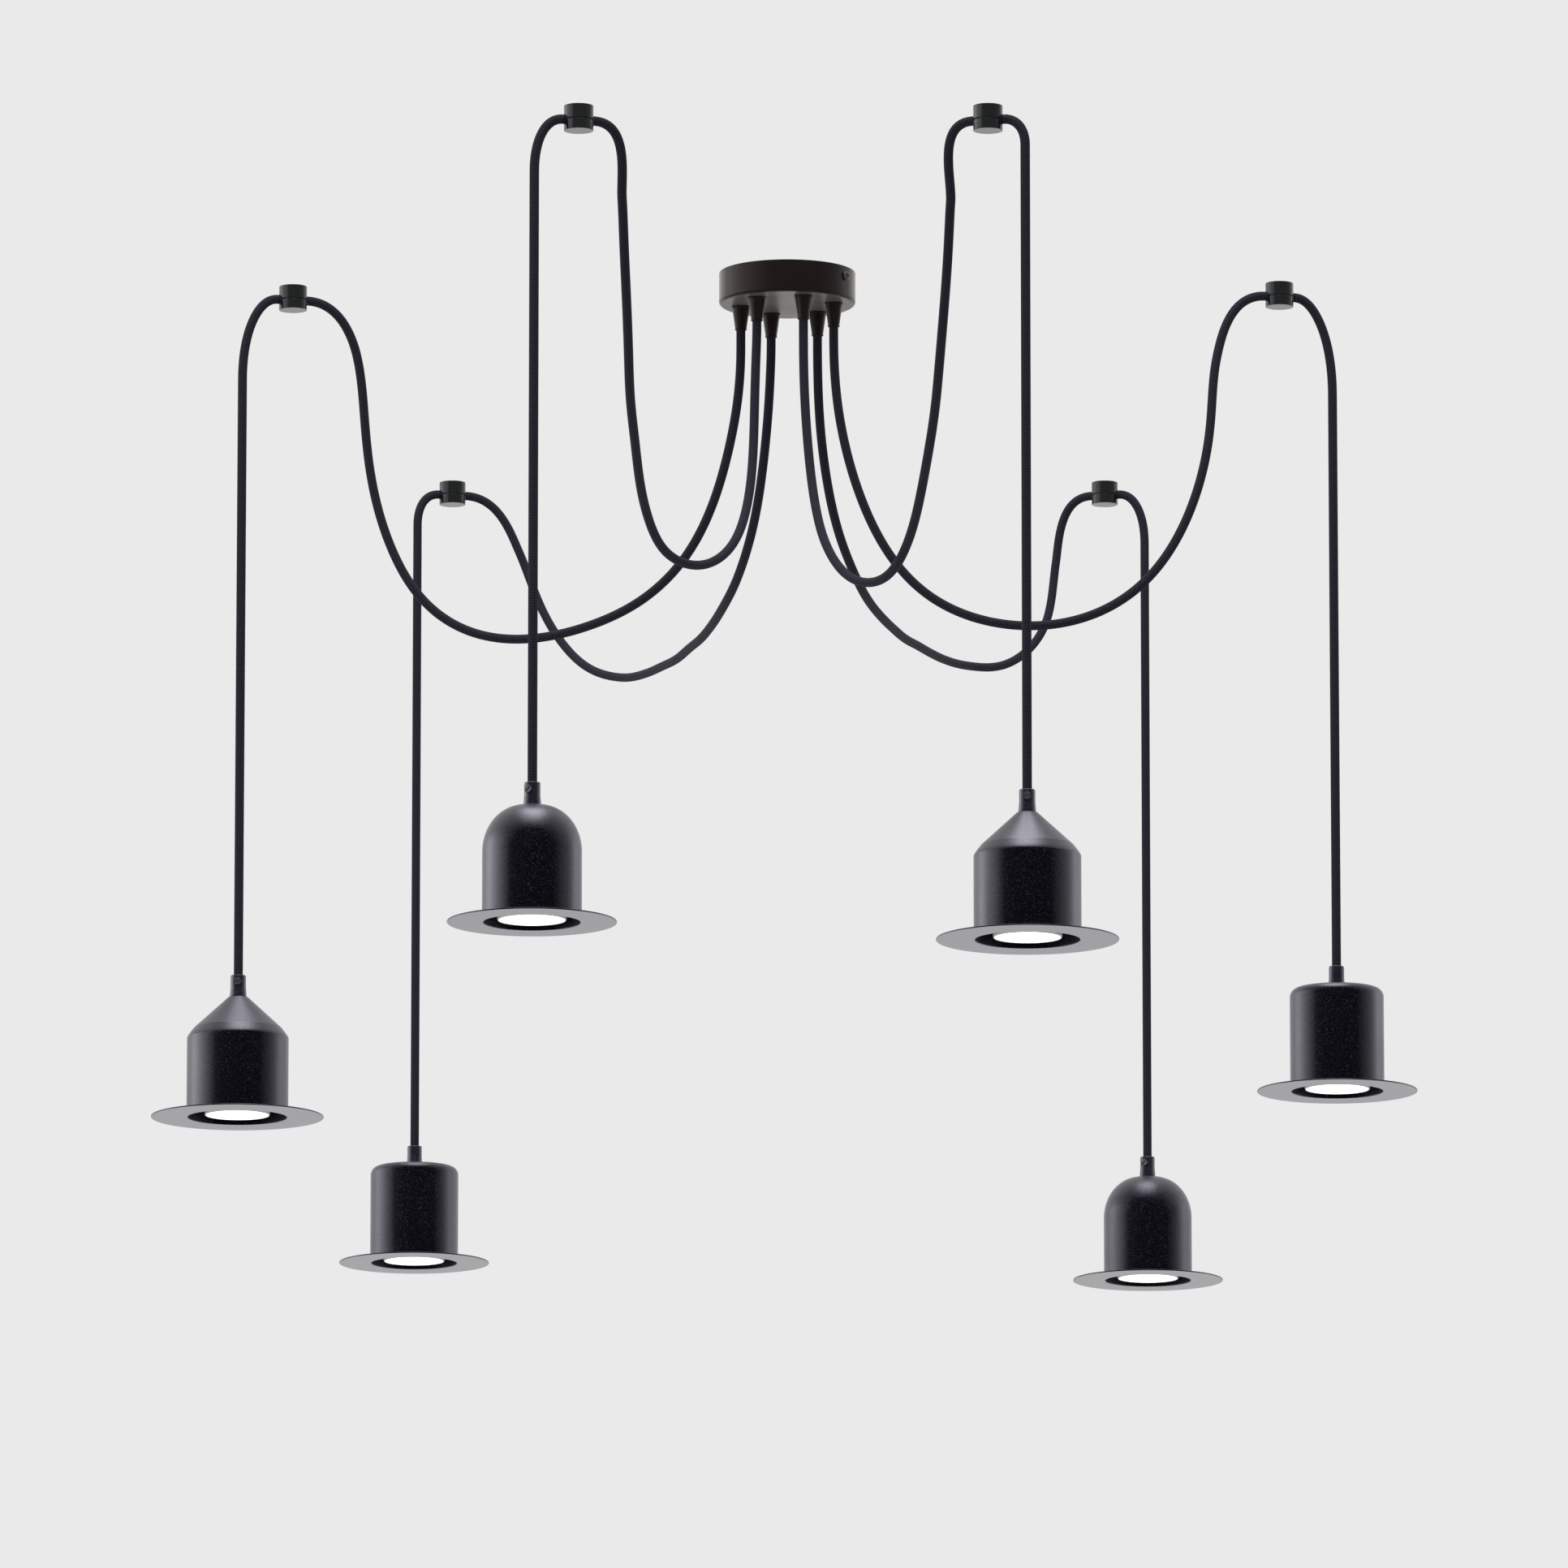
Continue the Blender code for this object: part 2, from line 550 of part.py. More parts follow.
def make_bracket(surface):
    """The ceiling bracket: bar, two ears, two slots for the ceiling screws, four screw holes."""
    half_width = BRACKET_WIDTH / 2
    bar_end = BRACKET_HALF_LENGTH
    ear_start = bar_end - BRACKET_THICKNESS
    outline = (
        (-bar_end, 0.0),
        (-bar_end, -EAR_HEIGHT),
        (-ear_start, -EAR_HEIGHT),
        (-ear_start, -BRACKET_THICKNESS),
        (ear_start, -BRACKET_THICKNESS),
        (ear_start, -EAR_HEIGHT),
        (bar_end, -EAR_HEIGHT),
        (bar_end, 0.0),
    )
    bm = bmesh.new()
    stand = Matrix.Rotation(math.radians(90.0), 4, "X")
    add_prism(bm, outline, -half_width, half_width, stand)
    bracket = place(bm, "ceiling_bracket", surface, turn=BRACKET_TURN, smooth=False)
    cutters = bmesh.new()
    run = (BRACKET_SLOT_LENGTH - BRACKET_SLOT_WIDTH) / 2
    for side in (-1, 1):
        slot = []
        for end, first in ((1, -90.0), (-1, 90.0)):
            for step in range(7):
                angle = math.radians(first + 180.0 * step / 6)
                x = side * BRACKET_SLOT_CENTRE + end * run + BRACKET_SLOT_WIDTH / 2 * math.cos(angle)
                slot.append((x, BRACKET_SLOT_WIDTH / 2 * math.sin(angle)))
        add_prism(cutters, slot, -2 * BRACKET_THICKNESS, BRACKET_THICKNESS)
        hole = BLOCK_PEG_HOLE_RADIUS
        spot = Matrix.Translation((0.0, side * BLOCK_PITCH / 2, 0.0))
        disc_body(cutters, ((hole, BRACKET_THICKNESS), (hole, -2 * BRACKET_THICKNESS)), SCREW_STEPS, spot)
        aim = Matrix.Translation((side * bar_end, 0.0, -SIDE_SCREW_DROP)) @ Matrix.Rotation(
            math.radians(90.0), 4, "Y")
        hole = SIDE_SCREW_RADIUS + SEAT_GAP
        disc_body(cutters, ((hole, BRACKET_THICKNESS * 2), (hole, -BRACKET_THICKNESS * 2)), SCREW_STEPS, aim)
        for across in (-1, 1):
            low = (side * (bar_end - BRACKET_THICKNESS * 2.5), across * EAR_WIDTH / 2, -EAR_HEIGHT * 2)
            high = (side * (bar_end + BRACKET_THICKNESS), across * BRACKET_WIDTH, -BRACKET_THICKNESS * 2)
            add_box(cutters, low, high)
    # The four outer corners of the bar are clipped so that it fits the round cup.
    for side in (-1, 1):
        for across in (-1, 1):
            clip_start = side * bar_end * BRACKET_CLIP_START_SHARE
            clip_end = side * bar_end * BRACKET_CLIP_END_SHARE
            clip_width = across * half_width * BRACKET_CLIP_WIDTH_SHARE
            ear_edge = across * EAR_WIDTH / 2
            corner = (
                (clip_start, clip_width),
                (clip_end, clip_width),
                (clip_end, ear_edge),
                (side * (bar_end + ON_AXIS), ear_edge),
            )
            add_prism(cutters, corner, -BRACKET_THICKNESS * 1.9, BRACKET_THICKNESS)
    cutter = add_cutter(cutters, "cutter_bracket", turn=BRACKET_TURN)
    cut(bracket, cutter)
    return bracket


def make_terminal_block(surface):
    """The moulded three-way terminal block, with wire holes, screw wells and two pegs on top."""
    top = -BRACKET_THICKNESS - SEAT_GAP
    web = top - BLOCK_WEB_HEIGHT
    bottom = top - BLOCK_HEIGHT
    end = BLOCK_LENGTH / 2
    outline = [(-end, top), (-end, web)]
    for way in (-1, 0, 1):
        middle = way * BLOCK_PITCH
        half = BLOCK_BARREL_WIDTH / 2
        shoulder = BLOCK_BARREL_WIDTH / 5
        outline += [
            (middle - half, web),
            (middle - half, bottom + shoulder),
            (middle - half + shoulder, bottom),
            (middle + half - shoulder, bottom),
            (middle + half, bottom + shoulder),
            (middle + half, web),
        ]
    outline += [(end, web), (end, top)]
    bm = bmesh.new()
    across = Matrix.Rotation(math.radians(90.0), 4, "Z") @ Matrix.Rotation(math.radians(90.0), 4, "X")
    add_prism(bm, outline, -BLOCK_WIDTH / 2, BLOCK_WIDTH / 2, across)
    block = place(bm, "terminal_block", surface, turn=BRACKET_TURN, smooth=False)
    cutters = bmesh.new()
    for way in (-1, 0, 1):
        wire_height = bottom + BLOCK_WIRE_HEIGHT
        aim = Matrix.Translation((0.0, way * BLOCK_PITCH, wire_height)) @ Matrix.Rotation(
            math.radians(90.0), 4, "Y")
        reach = ((BLOCK_WIRE_HOLE_RADIUS, BLOCK_WIDTH), (BLOCK_WIRE_HOLE_RADIUS, -BLOCK_WIDTH))
        disc_body(cutters, reach, SCREW_STEPS, aim)
    block_cutter = add_cutter(cutters, "cutter_block_wires", turn=BRACKET_TURN)
    cut(block, block_cutter)
    wells = bmesh.new()
    for way in (-1, 0, 1):
        for side in (-1, 1):
            spot = Matrix.Translation((side * BLOCK_WELL_SPACING / 2, way * BLOCK_PITCH, bottom))
            span = ((BLOCK_WELL_RADIUS, BLOCK_WELL_DEPTH), (BLOCK_WELL_RADIUS, -BLOCK_WELL_DEPTH))
            disc_body(wells, span, SCREW_STEPS, spot)
    cut(block, add_cutter(wells, "cutter_block_wells", turn=BRACKET_TURN))
    pegs = bmesh.new()
    for side in (-1, 1):
        spot = Matrix.Translation((0.0, side * BLOCK_PITCH / 2, 0.0))
        disc_body(pegs, ((BLOCK_PEG_RADIUS, -SEAT_GAP), (BLOCK_PEG_RADIUS, web / 2)), SCREW_STEPS, spot)
    weld(block, add_cutter(pegs, "guide_block_pegs", turn=BRACKET_TURN))
    return block


def make_side_screw(number, surface):
    """One cross-headed side screw that holds the canopy to an ear of the bracket."""
    seat = CANOPY_RADIUS + SEAT_GAP
    head = SIDE_SCREW_HEAD_RADIUS
    turn = BRACKET_TURN + math.pi * number
    lie = Matrix.Translation((0.0, 0.0, -SIDE_SCREW_DROP)) @ Matrix.Rotation(math.radians(90.0), 4, "Y")
    profile = (
        (head * SIDE_SCREW_CROWN_SHARE, seat + SIDE_SCREW_HEAD_HEIGHT),
        (head * SIDE_SCREW_ROUND_SHARE, seat + SIDE_SCREW_HEAD_HEIGHT * 0.75),
        (head, seat + SIDE_SCREW_HEAD_HEIGHT * 0.3),
        (head, seat),
        (SIDE_SCREW_RADIUS, seat),
        (SIDE_SCREW_RADIUS, seat - SIDE_SCREW_LENGTH),
    )
    bm = bmesh.new()
    disc_body(bm, profile, ROUND_STEPS, lie)
    screw = place(bm, "side_screw_" + str(number + 1), surface, turn=turn)
    arm = head * CROSS_ARM_SHARE
    blade = head * CROSS_BLADE_SHARE
    depth = SIDE_SCREW_HEAD_HEIGHT * CROSS_DEPTH_SHARE
    cross = (
        (arm, -blade), (arm, blade), (blade, blade), (blade, arm), (-blade, arm), (-blade, blade),
        (-arm, blade), (-arm, -blade), (-blade, -blade), (-blade, -arm), (blade, -arm), (blade, -blade),
    )
    face = seat + SIDE_SCREW_HEAD_HEIGHT
    bm = bmesh.new()
    add_prism(bm, cross, face - depth, face + depth, lie)
    cut(screw, add_cutter(bm, "cutter_cross_" + str(number + 1), turn=turn))
    return screw


def make_grip(number, surface):
    """One cord grip: its cone under the canopy, its stem through the floor and its nut inside."""
    spot = grip_place(number)
    turn = math.radians(GRIP_ANGLES[number])
    seat = -CANOPY_HEIGHT - SEAT_GAP
    mouth = -CANOPY_HEIGHT - GRIP_LENGTH
    top = -CANOPY_HEIGHT + GRIP_STEM_LENGTH
    profile = (
        (CORD_HOLE_RADIUS, top),
        (GRIP_STEM_RADIUS, top),
        (GRIP_STEM_RADIUS, seat),
        (GRIP_FLANGE_RADIUS, seat),
        (GRIP_FLANGE_RADIUS, seat - GRIP_FLANGE_HEIGHT),
        (GRIP_BASE_RADIUS, seat - GRIP_FLANGE_HEIGHT - GRIP_LIP_STEP),
        (GRIP_MOUTH_RADIUS - GRIP_LIP_STEP, mouth + GRIP_LIP_HEIGHT),
        (GRIP_MOUTH_RADIUS, mouth + GRIP_LIP_HEIGHT),
        (GRIP_MOUTH_RADIUS, mouth),
        (CORD_HOLE_RADIUS, mouth),
    )
    bm = bmesh.new()
    revolve(bm, profile, ROUND_STEPS)
    grip = place(bm, "cord_grip_" + str(number + 1), surface, location=spot, turn=turn)
    floor = -CANOPY_HEIGHT + CANOPY_WALL + SEAT_GAP
    bm = bmesh.new()
    nut_bore = GRIP_STEM_RADIUS - SEAT_GAP / 3
    hexagon_ring(bm, NUT_RADIUS, nut_bore, floor, floor + NUT_HEIGHT)
    weld(grip, add_cutter(bm, "guide_nut_" + str(number + 1), location=spot, turn=turn))
    return grip


def hexagon_ring(bm, radius, bore, low, high):
    """A nut: a six-sided ring with a six-sided bore that closes on the stem."""
    rings = []
    for reach, height in ((radius, low), (radius, high), (bore, high), (bore, low)):
        ring = []
        for step in range(6):
            angle = math.tau * step / 6
            ring.append(bm.verts.new((reach * math.cos(angle), reach * math.sin(angle), height)))
        rings.append(ring)
    for ring, following in zip(rings, rings[1:] + rings[:1]):
        for step in range(6):
            after = (step + 1) % 6
            bm.faces.new((ring[step], ring[after], following[after], following[step]))


def make_hook(number, surface):
    """One ceiling hook: the base on the ceiling and its cap, pegged together round the cord."""
    spot = hook_place(number)
    turn = math.radians(LAMPS[number][2])
    name = str(number + 1)
    seam = -HOOK_BASE_HEIGHT
    bottom = -HOOK_BASE_HEIGHT - HOOK_CAP_HEIGHT
    bm = bmesh.new()
    profile = (
        (HOOK_RADIUS, 0.0),
        (HOOK_RADIUS, seam + SEAM_GAP / 2),
        (HOOK_SEAM_RADIUS, seam + SEAM_GAP / 2),
        (HOOK_SEAM_RADIUS, seam - SEAM_GAP / 2),
        (HOOK_RADIUS, seam - SEAM_GAP / 2),
        (HOOK_RADIUS, bottom + HOOK_EDGE),
        (HOOK_RADIUS - HOOK_EDGE, bottom),
    )
    disc_body(bm, profile, HOOK_STEPS)
    hook = place(bm, "ceiling_hook_" + name, surface, None, spot, turn)
    bore = bmesh.new()
    along = Matrix.Translation((0.0, 0.0, seam)) @ Matrix.Rotation(math.radians(90.0), 4, "Y")
    reach = ((CORD_HOLE_RADIUS, 2 * HOOK_RADIUS), (CORD_HOLE_RADIUS, -2 * HOOK_RADIUS))
    disc_body(bore, reach, ROUND_STEPS, along)
    cut(hook, add_cutter(bore, "cutter_hook_bore_" + name, None, spot, turn))
    hole = bmesh.new()
    roof = seam + CORD_HOLE_RADIUS
    profile = (
        (HOOK_SCREW_HOLE_RADIUS, HOOK_SINK_DEPTH),
        (HOOK_SCREW_HOLE_RADIUS, roof + HOOK_SINK_DEPTH),
        (HOOK_SINK_RADIUS, roof),
        (HOOK_SINK_RADIUS, seam),
    )
    disc_body(hole, profile, SCREW_STEPS)
    cut(hook, add_cutter(hole, "cutter_hook_screw_" + name, None, spot, turn))
    return hook


def make_swag(number, surface):
    """One cord from inside the canopy, down through its grip, along its swag and through its hook."""
    turn = math.radians(LAMPS[number][2])
    outward = Vector((math.cos(turn), math.sin(turn), 0.0))
    middle = hook_place(number) + Vector((0.0, 0.0, -HOOK_BASE_HEIGHT))
    grip = grip_place(number)
    inner_end = grip + Vector((0.0, 0.0, -CANOPY_HEIGHT + GRIP_STEM_LENGTH + CORD_TAIL))
    mouth = grip + Vector((0.0, 0.0, -CANOPY_HEIGHT - GRIP_LENGTH - CORD_LEAD))
    route = [mouth]
    for across, along, fall in SWAG_SHARES[number]:
        point = (across * HOOK_SPREAD_ACROSS, along * HOOK_SPREAD_ALONG, -fall * LAMP_FALL)
        route.append(Vector(point))
    route.append(middle - outward * (HOOK_RADIUS + CORD_LEAD))
    points = smooth_through(route, Vector((0.0, 0.0, -1.0)), outward, SWAG_SPAN_STEPS)
    points = [inner_end] + points + [middle + outward * HOOK_RADIUS]
    return cord("swag_cord_" + str(number + 1), points, surface)


def arch_points(reach):
    """The arch in its own plane: level out of the hook, then down, opening out to a plumb end."""
    start = HOOK_RADIUS + SEAT_GAP
    step_angle = math.radians(90.0) / ARCH_STEPS
    headings = [(step + 0.5) * step_angle for step in range(ARCH_STEPS)]
    opening = [(heading / math.radians(90.0)) ** ARCH_OPENING_POWER for heading in headings]
    tight = sum(math.cos(heading) for heading in headings) * step_angle
    loose = sum(math.cos(heading) * share for heading, share in zip(headings, opening)) * step_angle
    growth = (reach - start - ARCH_LEAD - ARCH_TIGHT_RADIUS * tight) / loose
    across = start + ARCH_LEAD
    height = 0.0
    points = [(start, 0.0, height), (across, 0.0, height)]
    for heading, share in zip(headings, opening):
        radius = ARCH_TIGHT_RADIUS + growth * share
        across += radius * step_angle * math.cos(heading)
        height -= radius * step_angle * math.sin(heading)
        points.append((across, 0.0, height))
    points.append((across, 0.0, height - ARCH_LEAD))
    return points


def crown_outline(form, radius, height, land, steps):
    """The side of a crown from the edge of its flat top down to where its straight side starts."""
    if form == "dome":
        round_height = DOME_ROUND_HEIGHT - (DOME_HEIGHT - height)
        base = height - round_height
        return quarter_arc((land, base), (radius - land, round_height), steps)
    if form == "cone":
        drop = CONE_HEIGHT - height
        crease = CONE_CREASE_RADIUS - (CONE_CROWN_RADIUS - radius)
        crease_height = CONE_HEIGHT - CONE_CREASE_DROP - drop
        side_height = CONE_HEIGHT - CONE_SHOULDER_DROP
        points = [(land, height), (crease, crease_height)]
        reach = radius - crease
        fall = crease_height - side_height
        for step in range(1, steps // 2):
            angle = math.radians(90.0) * step / (steps // 2)
            left = (1.0 - angle / math.radians(90.0)) ** CONE_SHOULDER_POWER
            points.append((crease + reach * math.sin(angle), side_height + fall * left))
        points.append((radius, side_height))
        return points
    edge = DRUM_EDGE_RADIUS - (DRUM_CROWN_RADIUS - radius)
    points = [(land, height)]
    points += quarter_arc((radius - edge, height - edge), (edge, edge), steps // 2 + 1)
    return points


def shade_sizes(form):
    """Brim radius, crown radius, height and land radius of a hat."""
    if form == "dome":
        return DOME_BRIM_RADIUS, DOME_CROWN_RADIUS, DOME_HEIGHT, DOME_LAND_RADIUS
    if form == "cone":
        return CONE_BRIM_RADIUS, CONE_CROWN_RADIUS, CONE_HEIGHT, CONE_LAND_RADIUS
    return DRUM_BRIM_RADIUS, DRUM_CROWN_RADIUS, DRUM_HEIGHT, DOME_LAND_RADIUS


def make_shade(name, form, surface, parent, brim_height):
    """One spun hat: crown and brim in one sheet, with a hole for the stem in its flat top."""
    brim, crown, height, land = shade_sizes(form)
    profile = [(SHADE_HOLE_RADIUS, height)]
    profile += crown_outline(form, crown, height, land, OUTSIDE_STEPS)
    profile += [
        (crown, BRIM_THICKNESS + BRIM_ROOT_RADIUS),
        (crown + BRIM_ROOT_RADIUS, BRIM_THICKNESS),
        (brim, BRIM_THICKNESS),
        (brim, 0.0),
        (crown - SHADE_WALL, 0.0),
    ]
    profile += crown_outline(form, crown - SHADE_WALL, height - SHADE_WALL, land, INSIDE_STEPS)[::-1]
    profile.append((SHADE_HOLE_RADIUS, height - SHADE_WALL))
    bm = bmesh.new()
    revolve(bm, profile, SHADE_STEPS)
    return place(bm, name, surface, parent, (0.0, 0.0, brim_height))


def make_clamp(name, form, surface, parent, foot_height, facing):
    """The cord clamp: collar and threaded stem in one turned piece, and its slotted screw."""
    bm = bmesh.new()
    arc = quarter_arc((COLLAR_RADIUS - COLLAR_ROUNDING, COLLAR_HEIGHT - COLLAR_ROUNDING),
                      (COLLAR_ROUNDING, COLLAR_ROUNDING), 2)
    profile = [(CORD_HOLE_RADIUS, COLLAR_HEIGHT)] + arc
    profile += [
        (COLLAR_RADIUS, COLLAR_HEIGHT * COLLAR_WAIST_SHARE),
        (COLLAR_FOOT_RADIUS, SEAT_GAP),
        (STEM_RADIUS, SEAT_GAP),
        (STEM_RADIUS, -STEM_LENGTH),
        (CORD_HOLE_RADIUS, -STEM_LENGTH),
    ]
    revolve(bm, profile, ROUND_STEPS)
    body = place(bm, name, surface, parent, (0.0, 0.0, foot_height), facing)
    height = COLLAR_HEIGHT - CLAMP_SCREW_DROP
    aim = Matrix.Translation((0.0, 0.0, height)) @ Matrix.Rotation(math.radians(90.0), 4, "Y")
    seat = bmesh.new()
    wide = CLAMP_SCREW_HEAD_RADIUS + SEAT_GAP
    disc_body(seat, ((wide, COLLAR_RADIUS * 1.5), (wide, CLAMP_SCREW_SEAT)), ROUND_STEPS, aim)
    cut(body, add_cutter(seat, "cutter_seat_" + name, parent, (0.0, 0.0, foot_height), facing))
    screw = bmesh.new()
    head = CLAMP_SCREW_SEAT + SEAT_GAP
    face = head + CLAMP_SCREW_HEAD_HEIGHT
    profile = (
        (CLAMP_SCREW_HEAD_RADIUS, face),
        (CLAMP_SCREW_HEAD_RADIUS, head),
        (CLAMP_SCREW_SHANK_RADIUS, head),
        (CLAMP_SCREW_SHANK_RADIUS, (CLAMP_SCREW_SEAT + CORD_HOLE_RADIUS) / 2),
    )
    disc_body(screw, profile, ROUND_STEPS, aim)
    turned = add_cutter(screw, "guide_screw_" + name, parent, (0.0, 0.0, foot_height), facing)
    slot = bmesh.new()
    tilt = aim @ Matrix.Rotation(math.radians(CLAMP_SLOT_TILT[form]), 4, "Z")
    half = CLAMP_SLOT_WIDTH / 2
    low = (-half, -CLAMP_SCREW_HEAD_RADIUS * 1.2, face - CLAMP_SLOT_DEPTH)
    high = (half, CLAMP_SCREW_HEAD_RADIUS * 1.2, face + CLAMP_SLOT_DEPTH)
    add_box(slot, low, high, tilt)
    cut(turned, add_cutter(slot, "cutter_slot_" + name, parent, (0.0, 0.0, foot_height), facing))
    weld(body, turned)
    return body


def make_holder(name, surface, parent, face_height, top_height):
    """The lamp holder: body, shoulder and boss, with the two bayonet slots and their chambers."""
    shoulder = HOLDER_HEIGHT - HOLDER_SHOULDER
    top = top_height - face_height
    profile = (
        (BOSS_BORE_RADIUS, top),
        (BOSS_TOP_RADIUS, top),
        (BOSS_RADIUS, top - BOSS_TAPER),
        (BOSS_RADIUS, HOLDER_HEIGHT),
        (HOLDER_RADIUS, shoulder),
        (HOLDER_RADIUS, HOLDER_EDGE),
        (HOLDER_RADIUS - HOLDER_EDGE, 0.0),
        (0.0, 0.0),
    )
    bore_floor = (0.0, HOLDER_HEIGHT - HOLDER_SHOULDER * 2)
    bm = bmesh.new()
    profile += (bore_floor, (BOSS_BORE_RADIUS, bore_floor[1]))
    revolve_closed(bm, profile, HOLDER_STEPS)
    holder = place(bm, name, surface, parent, (0.0, 0.0, face_height))
    slots = bmesh.new()
    for side in (0.0, 180.0):
        locked = side
        freed = side - TWIST_ANGLE
        neck = slot_outline(PIN_CIRCLE_RADIUS, SLOT_HALF_WIDTH, freed, locked + TWIST_PLAY)
        add_prism(slots, neck, -HOLDER_EDGE, SLOT_FLOOR + HOLDER_EDGE / 2)
    cut(holder, add_cutter(slots, "cutter_necks_" + name, parent, (0.0, 0.0, face_height)))
    chambers = bmesh.new()
    for side in (0.0, 180.0):
        wide = slot_outline(PIN_CIRCLE_RADIUS, CHAMBER_HALF_WIDTH, side - TWIST_ANGLE, side + TWIST_PLAY)
        add_prism(chambers, wide, SLOT_FLOOR, SLOT_DEPTH)
    cut(holder, add_cutter(chambers, "cutter_chambers_" + name, parent, (0.0, 0.0, face_height)))
    doors = bmesh.new()
    for side in (0.0, 180.0):
        angle = math.radians(side - TWIST_ANGLE)
        spot = (PIN_CIRCLE_RADIUS * math.cos(angle), PIN_CIRCLE_RADIUS * math.sin(angle), 0.0)
        reach = ((CHAMBER_HALF_WIDTH, SLOT_DEPTH / 2), (CHAMBER_HALF_WIDTH, -HOLDER_EDGE))
        disc_body(doors, reach, SCREW_STEPS, Matrix.Translation(spot))
    cut(holder, add_cutter(doors, "cutter_doors_" + name, parent, (0.0, 0.0, face_height)))
    return holder


def revolve_closed(bm, profile, steps):
    """A body turned from a profile that touches the axis at two points in its middle."""
    middle = [index for index, point in enumerate(profile) if point[0] < ON_AXIS]
    rings = {}
    for index, (radius, height) in enumerate(profile):
        if index in middle:
            continue
        ring = []
        for step in range(steps):
            angle = math.tau * step / steps
            ring.append(bm.verts.new((radius * math.cos(angle), radius * math.sin(angle), height)))
        rings[index] = ring
    count = len(profile)
    for index in range(count):
        after_index = (index + 1) % count
        if index in rings and after_index in rings:
            upper = rings[index]
            lower = rings[after_index]
            for step in range(steps):
                after = (step + 1) % steps
                bm.faces.new((upper[step], lower[step], lower[after], upper[after]))
    bm.faces.new(rings[middle[0] - 1])
    bm.faces.new(reversed(rings[(middle[-1] + 1) % count]))


def make_bulb(name, surface, parent, face_height):
    """The lamp: lens face, reflector body and neck, and its two headed pins."""
    profile = (
        (BULB_FACE_RADIUS, 0.0),
        (BULB_RADIUS, BULB_RIM_HEIGHT),
        (BULB_RADIUS, BULB_SKIRT_HEIGHT),
        (BULB_WAIST_RADIUS, BULB_WAIST_HEIGHT),
        (BULB_NECK_RADIUS, BULB_NECK_HEIGHT),
        (BULB_NECK_RADIUS, BULB_LENGTH),
    )
    bm = bmesh.new()
    disc_body(bm, profile, HOOK_STEPS)
    bulb = place(bm, name, surface, parent, (0.0, 0.0, face_height))
    pins = bmesh.new()
    for side in (-1, 1):
        shift = Matrix.Translation((side * PIN_CIRCLE_RADIUS, 0.0, BULB_LENGTH))
        profile = (
            (PIN_HEAD_RADIUS, PIN_SHAFT_LENGTH + PIN_HEAD_HEIGHT),
            (PIN_HEAD_RADIUS, PIN_SHAFT_LENGTH),
            (PIN_SHAFT_RADIUS, PIN_SHAFT_LENGTH),
            (PIN_SHAFT_RADIUS, -PIN_SHAFT_LENGTH),
        )
        disc_body(pins, profile, SCREW_STEPS, shift)
    weld(bulb, add_cutter(pins, "guide_pins_" + name, parent, (0.0, 0.0, face_height)))
    return bulb


def make_lamp(number, finishes):
    """Everything that hangs on one hook: arch, drop, clamp, shade, holder and lamp."""
    form, _, turn_degrees, reach, fall_share, screw_facing = LAMPS[number]
    name = str(number + 1)
    turn = math.radians(turn_degrees)
    bore_middle = hook_place(number) + Vector((0.0, 0.0, -HOOK_BASE_HEIGHT))
    hanger = make_empty("hanger_" + name, bore_middle, turn)
    arch = arch_points(reach)
    cord("arch_cord_" + name, arch, finishes["cord"], hanger)
    across, _, fall = arch[-1]
    swing = make_empty("lamp_" + name, (across, 0.0, fall - DROP_GAP / 2), 0.0, hanger)
    height_here = -HOOK_BASE_HEIGHT + fall - DROP_GAP / 2
    top = -fall_share * LAMP_FALL - height_here
    foot = top - COLLAR_HEIGHT
    brim = foot - shade_sizes(form)[2]
    drop = [(0.0, 0.0, -DROP_GAP / 2), (0.0, 0.0, foot - STEM_LENGTH + CORD_TAIL)]
    cord("drop_cord_" + name, drop, finishes["cord"], swing, 4)
    facing = math.radians(screw_facing) - turn
    make_clamp("cord_clamp_" + name, form, finishes["clamp"], swing, foot, facing)
    make_shade("shade_" + name, form, finishes["shade"], swing, brim)
    bulb_face = brim + BULB_RECESS
    holder_face = bulb_face + BULB_LENGTH + SEAT_GAP
    holder_top = foot - SHADE_WALL - SEAT_GAP
    make_holder("lamp_holder_" + name, finishes["ceramic"], swing, holder_face, holder_top)
    make_bulb("bulb_" + name, finishes["bulb"], swing, bulb_face)


